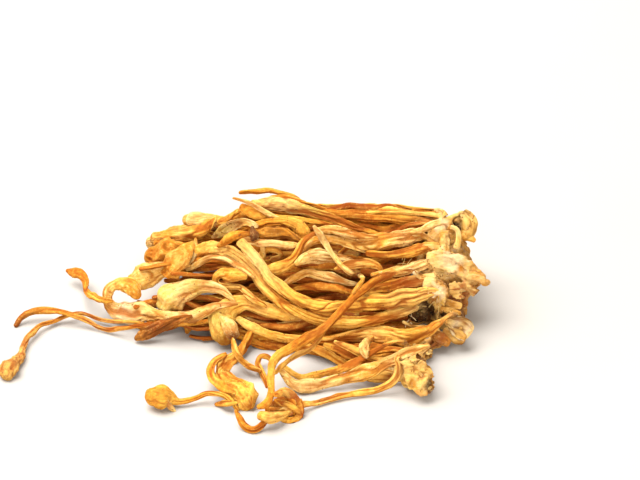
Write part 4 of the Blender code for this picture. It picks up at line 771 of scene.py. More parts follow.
def clear_of_butt(stalk):
    """The stalk cut short at the root, so that it starts just off the butt."""
    centres = stalk.centres()
    first = 0
    for centre, axes, radii in lobes():
        room = radii + ROOT_CLEARANCE + 0.5 * (stalk.half_width + stalk.half_thick)[:, None]
        inside = np.linalg.norm((centres - centre) @ axes.T / room, axis=1) < 1.0
        near_root = np.nonzero(inside[:len(inside) // 2])[0]
        if len(near_root):
            first = max(first, near_root[-1] + 1)
    return stalk.without_start(first)


def laid_stalk(sheet, name, drawn, laid, rounds=SETTLE_ROUNDS):
    """One drawn stalk, laid over the floor and over the stalks given."""
    _, stalk_share, tip_share, lift, route = drawn
    rows = smooth_through(route, SAMPLE_STEP)
    places = rows[:, :2]
    half_width = 0.5 * np.minimum(rows[:, 2], WIDEST_PER_BEND_RADIUS * bend_radius(places))
    along = np.linspace(0.0, 1.0, len(places))
    share = np.interp(along, (CLUB_STARTS_AT, CLUB_FULL_AT), (stalk_share, tip_share))
    half_thick = half_width * share
    wanted = sheet.depth_at_height(places[:, 1], sheet.heap_height(*places.T) + lift)
    least = least_over_table(sheet, places, half_width, half_thick)
    for other in laid + (front_lobes_as_stalks() if name in OVER_BUTT else []):
        seen = other.seen_on(sheet)
        least = np.maximum(least, least_over_stalk(seen, places, half_width, half_thick))
    return clear_of_butt(Stalk(sheet, places, settle(wanted, least, rounds), half_width, half_thick))


# ---------------------------------------------------------------- noise over a surface

CORNERS = np.array(list(itertools.product((0, 1), repeat=3)))


def lumps(places, seed=0):
    """Smooth noise between -1 and 1 at rows of three coordinates, about one lump to a unit."""
    cell = np.floor(places).astype(np.int64)
    part = places - cell
    part = part * part * (3.0 - 2.0 * part)
    total = np.zeros(len(places))
    for corner in CORNERS:
        x, y, z = (cell + corner).T
        mixed = x * 374761393 + y * 668265263 + z * 1440662683 + seed * 1442695041
        mixed = (mixed ^ (mixed >> 13)) * 1274126177
        mixed = (mixed ^ (mixed >> 16)) & 65535
        total += np.where(corner, part, 1.0 - part).prod(axis=1) * (mixed / 32767.5 - 1.0)
    return total


def creases(places, width, seed=0):
    """Narrow branching lines, 1 in their middle, where smooth noise passes through nothing."""
    return np.exp(-(lumps(places, seed) / width) ** 2)


def blend(a, b, share):
    """a and b mixed by a share for each row."""
    share = np.clip(share, 0.0, 1.0)
    return a * (1.0 - share) + b * share


def colours_along(names, along):
    """Rows of colour, mixed from named ones spaced evenly over along, which goes from 0 to 1."""
    stops = np.array([PALETTE[name] for name in names.split()])
    at = np.linspace(0.0, 1.0, len(stops))
    return np.column_stack([np.interp(along, at, stops[:, band]) for band in range(3)])


# ---------------------------------------------------------------- meshes

# Lumps of the skin: name: (size around in mm, size along in mm, place in the noise, seed).
SKIN_LUMPS = {
    "dents": (1.15, 3.2, 1, 11),
    "bulge": (1.7, 1.9, 5, 15),
    "grit": (0.22, 0.5, 6, 16),
    "edges": (0.95, 3.6, 7, 18),
    "crinkle": (0.5, 0.8, 8, 19),
    "leaf": (2.4, 3.4, 10, 22),
    "leaf crumple": (1.1, 1.8, 11, 24),
    "puff": (1.5, 1.6, 12, 25),
}

# Lines in the skin, given in the same way, and last how narrow they are.
SKIN_LINES = {
    "furrow": (0.55, 8.5, 2, 12, 0.24),
    "fine": (0.275, 4.0, 3, 13, 0.26),
    "split": (1.5, 20.0, 9, 21, 0.09),
    "wrinkle": (0.75, 1.125, 4, 14, 0.22),
}

# How deep each line goes: a share of the half thickness, and the most in mm.
LINE_DEPTHS = {"furrow": (0.34, 0.28), "fine": (0.12, 0.09), "split": (0.45, 0.42), "wrinkle": (0.14, 0.2)}

# How much of each form is raised on firm flesh, how much darkens the skin as painted shade in the hollows,
# and how much turns it pale on the crests, partly the skin's own colour and partly painted highlight.
FIRM_SHARES = {"dents": 0.10, "edges": 0.20, "crinkle": 0.13}
GROOVE_SHARES = {"furrow": 0.8, "fine": 0.4, "split": 1.3, "wrinkle": 0.8, "dents": -0.10,
                 "edges": -0.7, "crinkle": -0.5, "folded leaf": -0.7}
RIDGE_LEVEL = 0.36
RIDGE_SHARES = {"dents": 0.25, "edges": 1.5, "crinkle": 1.3, "bulge": 0.3, "folded leaf": 0.8,
                "furrow": -1.0, "fine": -0.5, "wrinkle": -1.0, "split": -1.0, "fold": -0.35}


class Surface:
    """A growing mesh with the values that its finish reads at each vertex."""

    def __init__(self):
        self.places, self.faces = [], []
        self.values = {"groove": [], "ridge": [], "tint": [], "grain": []}
        self.count = 0

    def add(self, places, faces, groove, ridge, tint, grain):
        self.places.append(places)
        self.faces += [tuple(int(corner) + self.count for corner in face) for face in faces]
        for key, value in (("groove", groove), ("ridge", ridge), ("tint", tint), ("grain", grain)):
            self.values[key].append(value)
        self.count += len(places)

    def to_object(self, name, material):
        mesh = bpy.data.meshes.new(name)
        places = np.concatenate(self.places) * MM
        mesh.from_pydata(places.tolist(), [], self.faces)
        for key in ("groove", "ridge"):
            layer = mesh.attributes.new(key, "FLOAT", "POINT")
            layer.data.foreach_set("value", np.concatenate(self.values[key]).astype(np.float32))
        grain = np.concatenate(self.values["grain"]).astype(np.float32)
        mesh.attributes.new("grain", "FLOAT_VECTOR", "POINT").data.foreach_set("vector", grain.ravel())
        tint = np.concatenate(self.values["tint"])
        tint = np.column_stack((tint, np.ones(len(tint)))).astype(np.float32)
        mesh.color_attributes.new("tint", "FLOAT_COLOR", "POINT").data.foreach_set("color", tint.ravel())
        mesh.materials.append(material)
        mesh.shade_smooth()
        piece = bpy.data.objects.new(name, mesh)
        bpy.context.scene.collection.objects.link(piece)
        return piece


class SkinNoise:
    """Reads noise around and along one stalk, at the vertices of its skin."""

    def __init__(self, across, out, at, seed):
        self.across = across
        self.out = out
        self.at = at
        self.seed = seed

    def around(self, cell, step, number):
        """Coordinates for noise with lumps of this size around and along the stalk."""
        still = self.at * 0
        drift = DRIFT * lumps(
            np.column_stack((self.at / DRIFT_LENGTH, still + self.seed, still + number)), 9)
        return np.column_stack((self.across / cell + SKIN_APART * self.seed + drift,
                                self.out / cell + FORM_APART * number + drift, self.at / step))

    def lump(self, name):
        *place, seed = SKIN_LUMPS[name]
        return lumps(self.around(*place), seed)

    def crest(self, name, level):
        """Sharp crests of this level, where smooth noise passes through nothing."""
        return level - np.abs(self.lump(name))

    def line(self, name):
        *place, seed, width = SKIN_LINES[name]
        return creases(self.around(*place), width, seed)


def tube_faces(rings, sides):
    """Quads between the rings, and triangle fans to the root vertex and the tip vertex after them."""
    faces = []
    root, tip = rings * sides, rings * sides + 1
    for number in range(sides):
        after = (number + 1) % sides
        faces.append((root, after, number))
        faces.append((tip, (rings - 1) * sides + number, (rings - 1) * sides + after))
        for ring in range(rings - 1):
            low, high = ring * sides, (ring + 1) * sides
            faces.append((low + number, low + after, high + after, high + number))
    return faces


def ring_rows(centres, half_width, half_thick, step):
    """Rings as rows of place, half width and half thickness, with a rounded tip at the end. With them
    come how far along each is in mm, and where it heads."""
    length = run_along(centres)
    run = np.linspace(0.0, length[-1], max(int(length[-1] / step), FEWEST_RINGS) + 1)
    rows = np.column_stack((centres, half_width, half_thick))
    rows = np.column_stack([np.interp(run, length, column) for column in rows.T])
    heading = unit_rows(np.gradient(rows[:, :3], axis=0))
    cap = TIP_ROUNDNESS * half_thick[-1] + (1.0 - TIP_ROUNDNESS) * half_width[-1]
    reach = cap * np.sin(TIP_TURNS)
    tip = np.repeat(rows[-1:], len(TIP_TURNS), axis=0)
    tip[:, :3] += reach[:, None] * heading[-1]
    tip[:, 3:] *= np.cos(TIP_TURNS)[:, None]
    return (np.concatenate((rows, tip)), np.concatenate((run, run[-1] + reach)),
            np.concatenate((heading, np.repeat(heading[-1:], len(TIP_TURNS), axis=0))))


def ring_frames(rows, run, heading, toward, seed):
    """The rings' middles, sides and faces where the stalk sways and rolls, and how far it swells."""
    side = unit_rows(np.cross(heading, toward))
    face = np.cross(side, heading)
    line = np.column_stack((run, np.full(len(run), LINE_APART * seed), np.zeros(len(run))))
    sway_side, sway_face, swell, roll = (
        lumps(line / (length, 1, 1), number + 1) for number, length in enumerate(LINE_LENGTHS))
    sway = (SWAY_LEAST + SWAY_PER_WIDTH * rows[:, 3]) * np.clip(run / SWAY_GROWS, 0.0, 1.0)
    middle = (rows[:, :3] + (sway * sway_side)[:, None] * side
              + (SWAY_OUT * sway * sway_face)[:, None] * face)
    roll = ROLL * roll
    cosine, sine = np.cos(roll)[:, None], np.sin(roll)[:, None]
    return middle, cosine * side + sine * face, cosine * face - sine * side, 1.0 + SWELL * swell


def mixed(forms, shares, level=0.0):
    """The named forms added up, each times its share."""
    total = level
    for name, share in shares.items():
        total = total + share * forms[name]
    return total


def add_stalk(surface, centres, half_width, half_thick, toward, look, seed, grown=False, coarser=1.0):
    """Adds a furrowed, flattened stalk with a rounded tip along the centres, in mm. A hidden one is made
    this many times coarser."""
    colours, furrow_share, gutter, club_share, *more = look
    fold_share = more[0] if more else 0.0
    rows, run, heading = ring_rows(centres, half_width, half_thick, coarser * RING_STEP)
    middle, side, face, swell = ring_frames(rows, run, heading, toward, seed)
    wide, thick = rows[:, 3] * swell, rows[:, 4] * swell
    along = np.clip(run / run[-1], 0.0, 1.0)

    girth = 2.0 * math.pi * np.sqrt(0.5 * (rows[:, 3] ** 2 + rows[:, 4] ** 2))
    fewest = FEWEST_SIDES / min(coarser, 2.0)
    sides = int(np.clip(girth.max() / (coarser * SIDE_STEP), fewest, MOST_SIDES))
    angle = 2.0 * math.pi * np.arange(sides) / sides
    rings = len(run)
    cosine, sine = np.tile(np.cos(angle), rings), np.tile(np.sin(angle), rings)
    ring = np.repeat(np.arange(rings), sides)
    w, t, at = wide[ring], thick[ring], run[ring]
    radius = girth[ring] / (2.0 * math.pi)
    noise = SkinNoise(radius * cosine, radius * sine, at, seed)

    at_club = np.clip((along[ring] - SKIN_CLUB_FROM) / SKIN_CLUB_GROWS, 0.0, 1.0)
    club, fold = club_share * at_club, fold_share * at_club
    deep = 1.0 - (CLUB_SMOOTHNESS if club_share + fold_share else 0.0) * at_club
    ribbed = deep * min(1.0, furrow_share) * (RIBS_LEFT + (1.0 - RIBS_LEFT) * np.exp(-at / RIBS_FADE))
    leaf = noise.crest("leaf", 0.4) + LEAF_CRUMPLE * noise.crest("leaf crumple", 0.3)
    forms = {
        "dents": noise.lump("dents"),
        "edges": noise.crest("edges", 0.36) * ribbed,
        "crinkle": noise.crest("crinkle", 0.3) * (0.7 + club),
        "split": noise.line("split") * furrow_share * deep,
        "furrow": noise.line("furrow") * furrow_share * deep,
        "fine": noise.line("fine") * furrow_share,
        "wrinkle": noise.line("wrinkle") * club,
        "bulge": noise.lump("bulge") * club,
        "fold": fold,
        "folded leaf": fold * leaf,
    }

    flesh = np.minimum(w, FLESH_PER_THICKNESS * t)
    height = (np.minimum(flesh, FIRM_LIMIT) * mixed(forms, FIRM_SHARES)
              + FOLD_RISE * np.minimum(flesh, FOLD_LIMIT) * fold * leaf)
    for name, (share, most) in LINE_DEPTHS.items():
        height = height - np.minimum(share * t, most) * forms[name]
    height = height + BULGE_RISE * t * forms["bulge"]
    height = height + PUFF_RISE * flesh * (noise.lump("puff") * (club + fold))
    height = height + GRIT_RISE * noise.lump("grit")
    normal = unit_rows(np.column_stack((cosine / np.maximum(w, THINNEST), sine / np.maximum(t, THINNEST))))
    across = w * cosine + height * normal[:, 0]
    out = t * sine + height * normal[:, 1]
    bend = gutter * lumps(np.column_stack((at / GUTTER_LENGTH, at * 0 + seed, at * 0)), 17)
    out += bend * (0.5 - cosine ** 2) * w
    flutes = lumps(np.column_stack((w * cosine / FLUTE_APART, at / FLUTE_LENGTH, at * 0 + seed)), 23)
    flat = np.clip(1.0 - 3.0 * t / np.maximum(w, THINNEST), 0.0, 1.0)
    out += np.minimum(FLUTE_SHARE * w, FLUTE_HEIGHT * (0.7 + 1.8 * flat)) * flutes * ribbed

    places = middle[ring] + across[:, None] * side[ring] + out[:, None] * face[ring]
    ends = np.array((middle[0] - ROOT_BULGE * thick[0] * heading[0], places[-sides:].mean(axis=0)))
    places = np.concatenate((places, ends))
    places[:, 2] = np.maximum(places[:, 2], 0.0)

    # groove darkens the skin as painted shade in the furrows; ridge turns the crests pale, partly as painted
    # highlight.
    groove = np.clip(mixed(forms, GROOVE_SHARES), 0.0, 1.0)
    ridge = np.clip(mixed(forms, RIDGE_SHARES, RIDGE_LEVEL), 0.0, 1.0)
    tint = colours_along(colours, along)[ring]
    if grown:
        tint = blend(tint, np.array(PALETTE["cream"]), (ROOT_PALE * np.exp(-at / ROOT_FADE))[:, None])
    grain = np.column_stack((radius * cosine + GRAIN_APART * seed, radius * sine, at))
    last = np.array((0, len(ring) - 1))
    surface.add(places, tube_faces(rings, sides), *(
        np.concatenate((value, value[last])) for value in (groove, ridge, tint, grain)))


def with_root(centres, half_width, half_thick, toward):
    """The stalk with its root drawn back into the butt, or tucked under its neighbours."""
    start = centres[0]
    ahead = centres[3] - start
    ahead /= np.linalg.norm(ahead)
    place, _, away = BUTT_TREE.find(start)
    place = np.array(place)
    inward = BUTT_HEART - place
    inward[0] = max(inward[0], 0.0)
    inward /= np.linalg.norm(inward)
    grown = away < ROOT_REACH and start[0] > ROOT_LEAST_X
    if grown:
        target, swell = place + ROOT_DEPTH * inward, ROOT_SWELL
    else:
        size = min(1.0, TUCK_PER_WIDTH * half_width[0])
        target, swell = start - size * (TUCK_BACK * ahead + TUCK_DOWN * toward), TUCK_SWELL
    gap = np.linalg.norm(target - start)
    handle = start - 0.5 * gap * ahead
    t = np.linspace(0.0, 1.0, max(int(gap / SAMPLE_STEP), 3))[:-1, None]
    curve = (1 - t) ** 2 * target + 2 * t * (1 - t) * handle + t ** 2 * start
    size = swell + (1.0 - swell) * t[:, 0]
    return (np.concatenate((curve, centres)), np.concatenate((size * half_width[0], half_width)),
            np.concatenate((size * half_thick[0], half_thick)), len(t) if grown else 0)


def stalk_surface(stalk, look, seed):
    """The skin of one laid stalk with its root, from root to tip."""
    surface = Surface()
    first = max(0, stalk.first - int(ROOT_OVERLAP / SAMPLE_STEP)) if stalk.first else 0
    whole = stalk.whole.without_start(first)
    toward = stalk.sheet.toward
    *line, grown = with_root(whole.centres(), whole.half_width, whole.half_thick, toward)
    add_stalk(surface, *line, toward, look, seed, grown > 0)
    if grown:
        count = grown + int(COLLAR_LENGTH / SAMPLE_STEP)
        thicker = np.linspace(*COLLAR_THICKER, count)
        COLLARS.append((line[0][:count], line[1][:count] + thicker,
                        np.maximum(line[2][:count] + thicker, COLLAR_THINNEST), toward))
    return surface


# ---------------------------------------------------------------- finishes

# Sizes in mm, and noise as lumps to a metre.
FIBRES_APART = 0.30
FIBRES_LONG = 4.5
SPECK_SIZE = 0.55
BLOTCHES = 330.0
SKIN_GRAIN = 1700.0
SPECK_PATCHES = 170.0
CRUST_GRAIN = 900.0
BUMP_RISE = 0.5
GLOW_SHARE = 0.10
GLOW_COLOUR = (1.0, 0.45, 0.10)
GLOW_DEPTH = 1.1

# How much of the pale colour, the dark one and the fibres shows in the grain of the skin.
GRAIN_PALE = 0.45
GRAIN_DARK = 0.42
FIBRES_DARK = 0.34
CRUST_PALE = 0.30
SPECKS_DARK = 0.8

class Wiring:
    """Adds nodes to a material or a group, each input given as a value or as another node's output."""

    def __init__(self, tree):
        self.tree = tree

    def add(self, kind, outputs=0, settings=None, **inputs):
        node = self.tree.nodes.new(kind)
        for key, value in (settings or {}).items():
            setattr(node, key, value)
        for key, value in inputs.items():
            self.plug(node.inputs[key.replace("_", " ")], value)
        return node.outputs[outputs]

    def plug(self, socket, value):
        if isinstance(value, bpy.types.NodeSocket):
            self.tree.links.new(value, socket)
        else:
            socket.default_value = value

    def attribute(self, name, output):
        node = self.tree.nodes.new("ShaderNodeAttribute")
        node.attribute_name = name
        return node.outputs[output]

    def math(self, operation, first, second=0.0):
        node = self.tree.nodes.new("ShaderNodeMath")
        node.operation = operation
        node.use_clamp = operation in ("MULTIPLY", "ADD", "SUBTRACT")
        self.plug(node.inputs[0], first)
        self.plug(node.inputs[1], second)
        return node.outputs[0]

    def mix(self, share, first, second):
        node = self.tree.nodes.new("ShaderNodeMix")
        node.data_type = "RGBA"
        self.plug(node.inputs["Factor"], share)
        self.plug(node.inputs[6], first)
        self.plug(node.inputs[7], second)
        return node.outputs[2]

    def scaled(self, vector, scale):
        node = self.tree.nodes.new("ShaderNodeVectorMath")
        node.operation = "MULTIPLY"
        self.plug(node.inputs[0], vector)
        self.plug(node.inputs[1], scale)
        return node.outputs[0]

    def noise(self, vector, scale, detail=3.0, roughness=0.55):
        return self.add("ShaderNodeTexNoise", Vector=vector, Scale=scale, Detail=detail,
                        Roughness=roughness)

    def step(self, value, low, high):
        return self.add("ShaderNodeMapRange", settings={"interpolation_type": "SMOOTHSTEP"},
                        Value=value, From_Min=low, From_Max=high)


def new_group(name, inputs, outputs):
    """A shader node group with named sockets, its wiring, its inputs and its end node."""
    tree = bpy.data.node_groups.new(name, "ShaderNodeTree")
    for label, kind, value in inputs:
        socket = tree.interface.new_socket(name=label, in_out="INPUT", socket_type="NodeSocket" + kind)
        socket.default_value = value
    for label, kind in outputs:
        tree.interface.new_socket(name=label, in_out="OUTPUT", socket_type="NodeSocket" + kind)
    start = tree.nodes.new("NodeGroupInput")
    end = tree.nodes.new("NodeGroupOutput")
    return tree, Wiring(tree), start.outputs, end.inputs


def place_group(wires, tree, **inputs):
    """Puts a group in a material and returns its outputs."""
    node = wires.tree.nodes.new("ShaderNodeGroup")
    node.node_tree = tree
    for key, value in inputs.items():
        wires.plug(node.inputs[key.replace("_", " ")], value)
    return node.outputs


def streaks_group():
    """Fibres that run along a stalk, as a mask, with how far apart they are and how long in mm."""
    tree, wires, start, end = new_group(
        "lengthwise fibres",
        (("Apart", "Float", 0.3), ("Long", "Float", 5.0)),
        (("Mask", "Float"), ("Fine", "Float"), ("Crepe", "Float")))
    grain = wires.attribute("grain", "Vector")
    across = wires.math("DIVIDE", 1.0, start["Apart"])
    along = wires.math("DIVIDE", 1.0, start["Long"])
    scale = wires.add("ShaderNodeCombineXYZ", X=across, Y=across, Z=along)
    stretched = wires.scaled(grain, scale)
    wires.plug(end["Mask"], wires.step(wires.noise(stretched, 1.0, 5.0, 0.65), 0.42, 0.60))
    wires.plug(end["Fine"], wires.noise(stretched, 3.1, 3.0))
    wires.plug(end["Crepe"], wires.noise(wires.scaled(grain, (1.0, 1.0, 0.7)), 1.9, 6.0, 0.72))
    return tree


def drying_group():
    """Colour of dried flesh, blotched: deepened in the furrows as painted shade, and paler on the crests,
    partly the skin's own colour and partly painted highlight.
    """
    tree, wires, start, end = new_group(
        "drying",
        (("Tint", "Color", (0.8, 0.5, 0.15, 1.0)), ("Deep", "Color", (0.45, 0.12, 0.015, 1.0)),
         ("Pale", "Color", (0.92, 0.74, 0.42, 1.0)), ("Fibres", "Float", 0.5),
         ("Furrow Share", "Float", 0.8), ("Ridge Share", "Float", 0.5), ("Blotch Share", "Float", 0.4)),
        (("Color", "Color"),))
    place = wires.add("ShaderNodeTexCoord", outputs="Object")
    blotch = wires.step(wires.noise(place, BLOTCHES, 5.0, 0.7), 0.45, 0.66)
    warm = wires.add("ShaderNodeHueSaturation", Hue=0.484, Saturation=1.12, Value=0.86, Color=start["Tint"])
    colour = wires.mix(wires.math("MULTIPLY", blotch, start["Blotch Share"]), start["Tint"], warm)
    fine = wires.noise(place, SKIN_GRAIN, 4.0, 0.7)
    light = wires.math("MULTIPLY", wires.step(fine, 0.52, 0.68), GRAIN_PALE)
    colour = wires.mix(light, colour, start["Pale"])
    dark = wires.mix(0.35, start["Deep"], colour)
    colour = wires.mix(wires.math("MULTIPLY", wires.step(fine, 0.48, 0.34), GRAIN_DARK), colour, dark)
    colour = wires.mix(wires.math("MULTIPLY", start["Fibres"], FIBRES_DARK), colour, dark)
    # Crests paler, partly the skin's own colour and partly painted highlight; then the furrows deepened as
    # painted shade.
    crest_paling = wires.math("MULTIPLY", wires.attribute("ridge", "Fac"), start["Ridge Share"])
    crest_paling = wires.math("MULTIPLY", crest_paling, wires.math("SUBTRACT", 1.25, start["Fibres"]))
    colour = wires.mix(crest_paling, colour, start["Pale"])
    furrow_shade = wires.math("MULTIPLY", wires.attribute("groove", "Fac"), start["Furrow Share"])
    wires.plug(end["Color"], wires.mix(furrow_shade, colour, start["Deep"]))
    return tree


def specks_group():
    """Small scattered spots: dark bits of dirt and pale bits of crust, as two masks."""
    tree, wires, start, end = new_group(
        "specks",
        (("Size", "Float", 0.5), ("Amount", "Float", 0.3)),
        (("Dark", "Float"), ("Crust", "Float")))
    place = wires.add("ShaderNodeTexCoord", outputs="Object")
    scale = wires.math("DIVIDE", 1.0 / MM, start["Size"])
    fine = wires.noise(place, scale, 2.0, 0.5)
    patchy = wires.noise(place, SPECK_PATCHES, 2.0, 0.5)
    crowd = wires.math("ADD", fine, wires.math("MULTIPLY", patchy, 0.35))
    edge = wires.math("SUBTRACT", 0.97, wires.math("MULTIPLY", start["Amount"], 0.2))
    wires.plug(end["Dark"], wires.step(wires.math("SUBTRACT", crowd, edge), 0.0, 0.03))
    other = wires.noise(wires.scaled(place, (1.0, 1.0, 1.7)), CRUST_GRAIN, 3.0, 0.6)
    wires.plug(end["Crust"], wires.step(other, 0.58, 0.70))
    return tree


GROUPS = {"fibres": streaks_group(), "drying": drying_group(), "specks": specks_group()}

# name: (deep colour, which the furrows are darkened toward as painted shade, pale colour, furrow share,
# ridge share, blotch share, speck amount, rough, gloss)
SKIN_FINISHES = {
    "amber_stalk": ((0.29, 0.055, 0.003), (0.94, 0.56, 0.10), 0.88, 0.48, 0.30, 0.45, 0.66, 0.10),
    "golden_stalk": ((0.34, 0.075, 0.004), (0.95, 0.64, 0.17), 0.88, 0.62, 0.28, 0.45, 0.64, 0.11),
    "cream_stalk": ((0.38, 0.105, 0.007), (0.95, 0.74, 0.33), 0.86, 0.64, 0.25, 0.55, 0.66, 0.11),
    "brown_stalk": ((0.17, 0.048, 0.006), (0.80, 0.48, 0.14), 0.85, 0.35, 0.50, 0.60, 0.68, 0.12),
    "butt_crust": ((0.20, 0.064, 0.008), (0.74, 0.53, 0.25), 0.90, 0.36, 0.35, 0.55, 0.74, 0.12),
}


def new_material(name):
    """A material, its wiring and the inputs of its shader."""
    material = bpy.data.materials.new(name)
    material.use_nodes = True
    tree = material.node_tree
    return material, Wiring(tree), tree.nodes["Principled BSDF"].inputs


def skin_material(name):
    """Dried, faintly translucent flesh with fibres along it, in the slot's own values."""
    deep, pale, furrow, ridge, blotch, specks, rough, gloss = SKIN_FINISHES[name]
    material, wires, shader = new_material(name)
    fibres = place_group(wires, GROUPS["fibres"], Apart=FIBRES_APART, Long=FIBRES_LONG)
    spots = place_group(wires, GROUPS["specks"], Size=SPECK_SIZE, Amount=specks)
    colour = place_group(
        wires, GROUPS["drying"], Tint=wires.attribute("tint", "Color"), Deep=(*deep, 1.0),
        Pale=(*pale, 1.0), Fibres=fibres["Mask"], Furrow_Share=furrow, Ridge_Share=ridge,
        Blotch_Share=blotch)["Color"]
    crust = wires.math("MULTIPLY", spots["Crust"], wires.attribute("ridge", "Fac"))
    colour = wires.mix(wires.math("MULTIPLY", crust, CRUST_PALE), colour, (*pale, 1.0))
    soiled = wires.math("MULTIPLY", spots["Dark"], SPECKS_DARK)
    wires.plug(shader["Base Color"], wires.mix(soiled, colour, (*PALETTE["brown"], 1.0)))
    wires.plug(shader["Roughness"], wires.add(
        "ShaderNodeMapRange", Value=fibres["Fine"], To_Min=rough - 0.10, To_Max=rough + 0.12))
    shader["Specular IOR Level"].default_value = gloss
    shader["Subsurface Weight"].default_value = GLOW_SHARE
    shader["Subsurface Radius"].default_value = GLOW_COLOUR
    shader["Subsurface Scale"].default_value = GLOW_DEPTH * MM
    rise = wires.math("ADD", wires.math("MULTIPLY", fibres["Fine"], 0.5),
                      wires.math("MULTIPLY", spots["Crust"], 0.2))
    rise = wires.math("ADD", rise, wires.math("MULTIPLY", fibres["Crepe"], 0.5))
    bump = wires.add("ShaderNodeBump", Height=rise, Strength=1.0, Distance=BUMP_RISE * MM)
    wires.plug(shader["Normal"], bump)
    return material


# ---------------------------------------------------------------- the butt

BUTT_VOXEL = 0.23
SMOOTH_ROUNDS = 5
FLAP_SINK = 0.35
FLAP_THINNEST = 0.16
FLAP_SEED = 400
GROWTH_SEED = 440
COLLAR_LOOK = ("cream cream", 1.0, 0.0, 0.0)
COLLAR_SEED = 500
THREAD_HALF_WIDTH = 0.07
THREAD_SAMPLES = 7
THREAD_LIFT = 0.4
THREAD_GAP = 0.1
THREAD_SEED = 700

# The crust: how far it is warped, where the porous cut end starts, and how far the crust is sunk.
WARP = 0.7
WARP_SIZE = 3.0
WARP_SEED = 20
CUT_FROM_X = 27.5
CUT_GROWS = 4.0
CRUST_SINK = 0.18
BUTT_SHADE = 0.83
BUTT_GRAIN = (0.15, 1.0, 1.0)
PATCH_EDGE = 1.9
PIT_REACH = 1.3
DARK_PATCHES = ("soil", "grey", "brown", "rust")

# Forms of the crust: name: (size along the stalks, size across them, share of the warp, level, seed).
CRUST_FORMS = {
    "crumple": (3.4, 2.1, 1.0, 0.5, 31),
    "pleat": (4.6, 1.1, 0.5, 0.5, 32),
    "wisp": (2.2, 0.55, 1.0, 0.35, 33),
    "crumb": (0.85, 0.85, 0.0, 0.5, 34),
}

# Where threads lie on the front sheet: (across, up, length, spread, count, colour).
THREADS = (
    (20.4, 23.4, 1.8, 3.0, 3, "cream"), (18.0, 21.6, 1.6, 1.8, 4, "white"),
    (16.6, 32.8, 1.8, 2.4, 6, "cream"), (23.6, 25.0, 1.6, 1.8, 4, "cream"),
)

# Thin flaps and stubs that grow out of the butt, drawn like the stalks:
# name: (thickness share, lift, look, route).
BUTT_FLAPS = {
    "crown_flap": (0.22, 1.0, ("cream pale pale orange", 0.6, 0.9, 0.3), (
        (28.6, 43.2, 1.6), (29.4, 42.2, 2.6), (29.8, 40.6, 3.0), (29.7, 39.0, 2.6), (28.9, 37.8, 1.4))),
    "hanging_stub": (0.8, 1.9, ("cream cream pale cream", 0.4, 0.1, 0.2), (
        (26.2, 40.2, 0.9), (27.4, 39.8, 1.0), (27.9, 38.8, 1.0), (27.8, 37.4, 1.1), (27.4, 36.2, 1.4))),
    "crown_spur": (0.3, 0.7, ("orange yellow orange", 0.6, 0.8, 0.2), (
        (28.6, 38.6, 1.2), (29.8, 38.2, 1.7), (31.0, 37.4, 0.9))),
    "skin_rim": (0.5, 1.2, ("orange pale orange ochre", 0.5, 0.2, 0.2), (
        (23.2, 35.4, 0.8), (26.4, 35.0, 1.0), (28.8, 33.4, 1.1), (30.6, 31.8, 1.1), (31.6, 30.8, 0.8))),
    "upper_plate": (0.18, 0.7, ("pale ochre pale", 0.5, 0.4, 0.1), (
        (24.6, 25.6, 1.2), (26.4, 24.9, 1.6), (28.2, 24.4, 1.2))),
    "lower_plate": (0.18, 0.4, ("ochre pale ochre", 0.5, 0.4, 0.1), (
        (24.2, 24.0, 1.2), (26.2, 23.4, 1.5), (28.0, 22.8, 1.0))),
    "fan_flap": (0.10, 1.1, ("orange cream white cream white cream", 1.0, 0.9, 0.0, 0.3), (
        (25.0, 21.6, 1.4), (26.4, 20.9, 3.2), (27.9, 20.2, 4.4), (29.0, 19.4, 4.6), (29.5, 19.0, 4.0))),
    "fan_under_flap": (0.10, 0.2, ("ochre buff pale ochre", 0.6, 0.9, 0.0), (
        (24.6, 19.6, 1.4), (26.2, 18.8, 2.6), (27.8, 18.0, 3.0), (28.6, 17.6, 2.4))),
    "pocket_sheet": (0.2, 0.3, ("ochre rust ochre", 0.6, 0.7, 0.2), (
        (22.4, 19.0, 1.8), (24.0, 17.9, 2.8), (25.6, 17.0, 1.8))),
    "mycelium_lip": (0.4, 0.5, ("cream pale cream", 0.8, 0.5, 0.8), (
        (21.0, 20.4, 0.7), (19.4, 20.3, 0.9), (17.8, 20.6, 0.8), (16.6, 21.2, 0.6))),
}

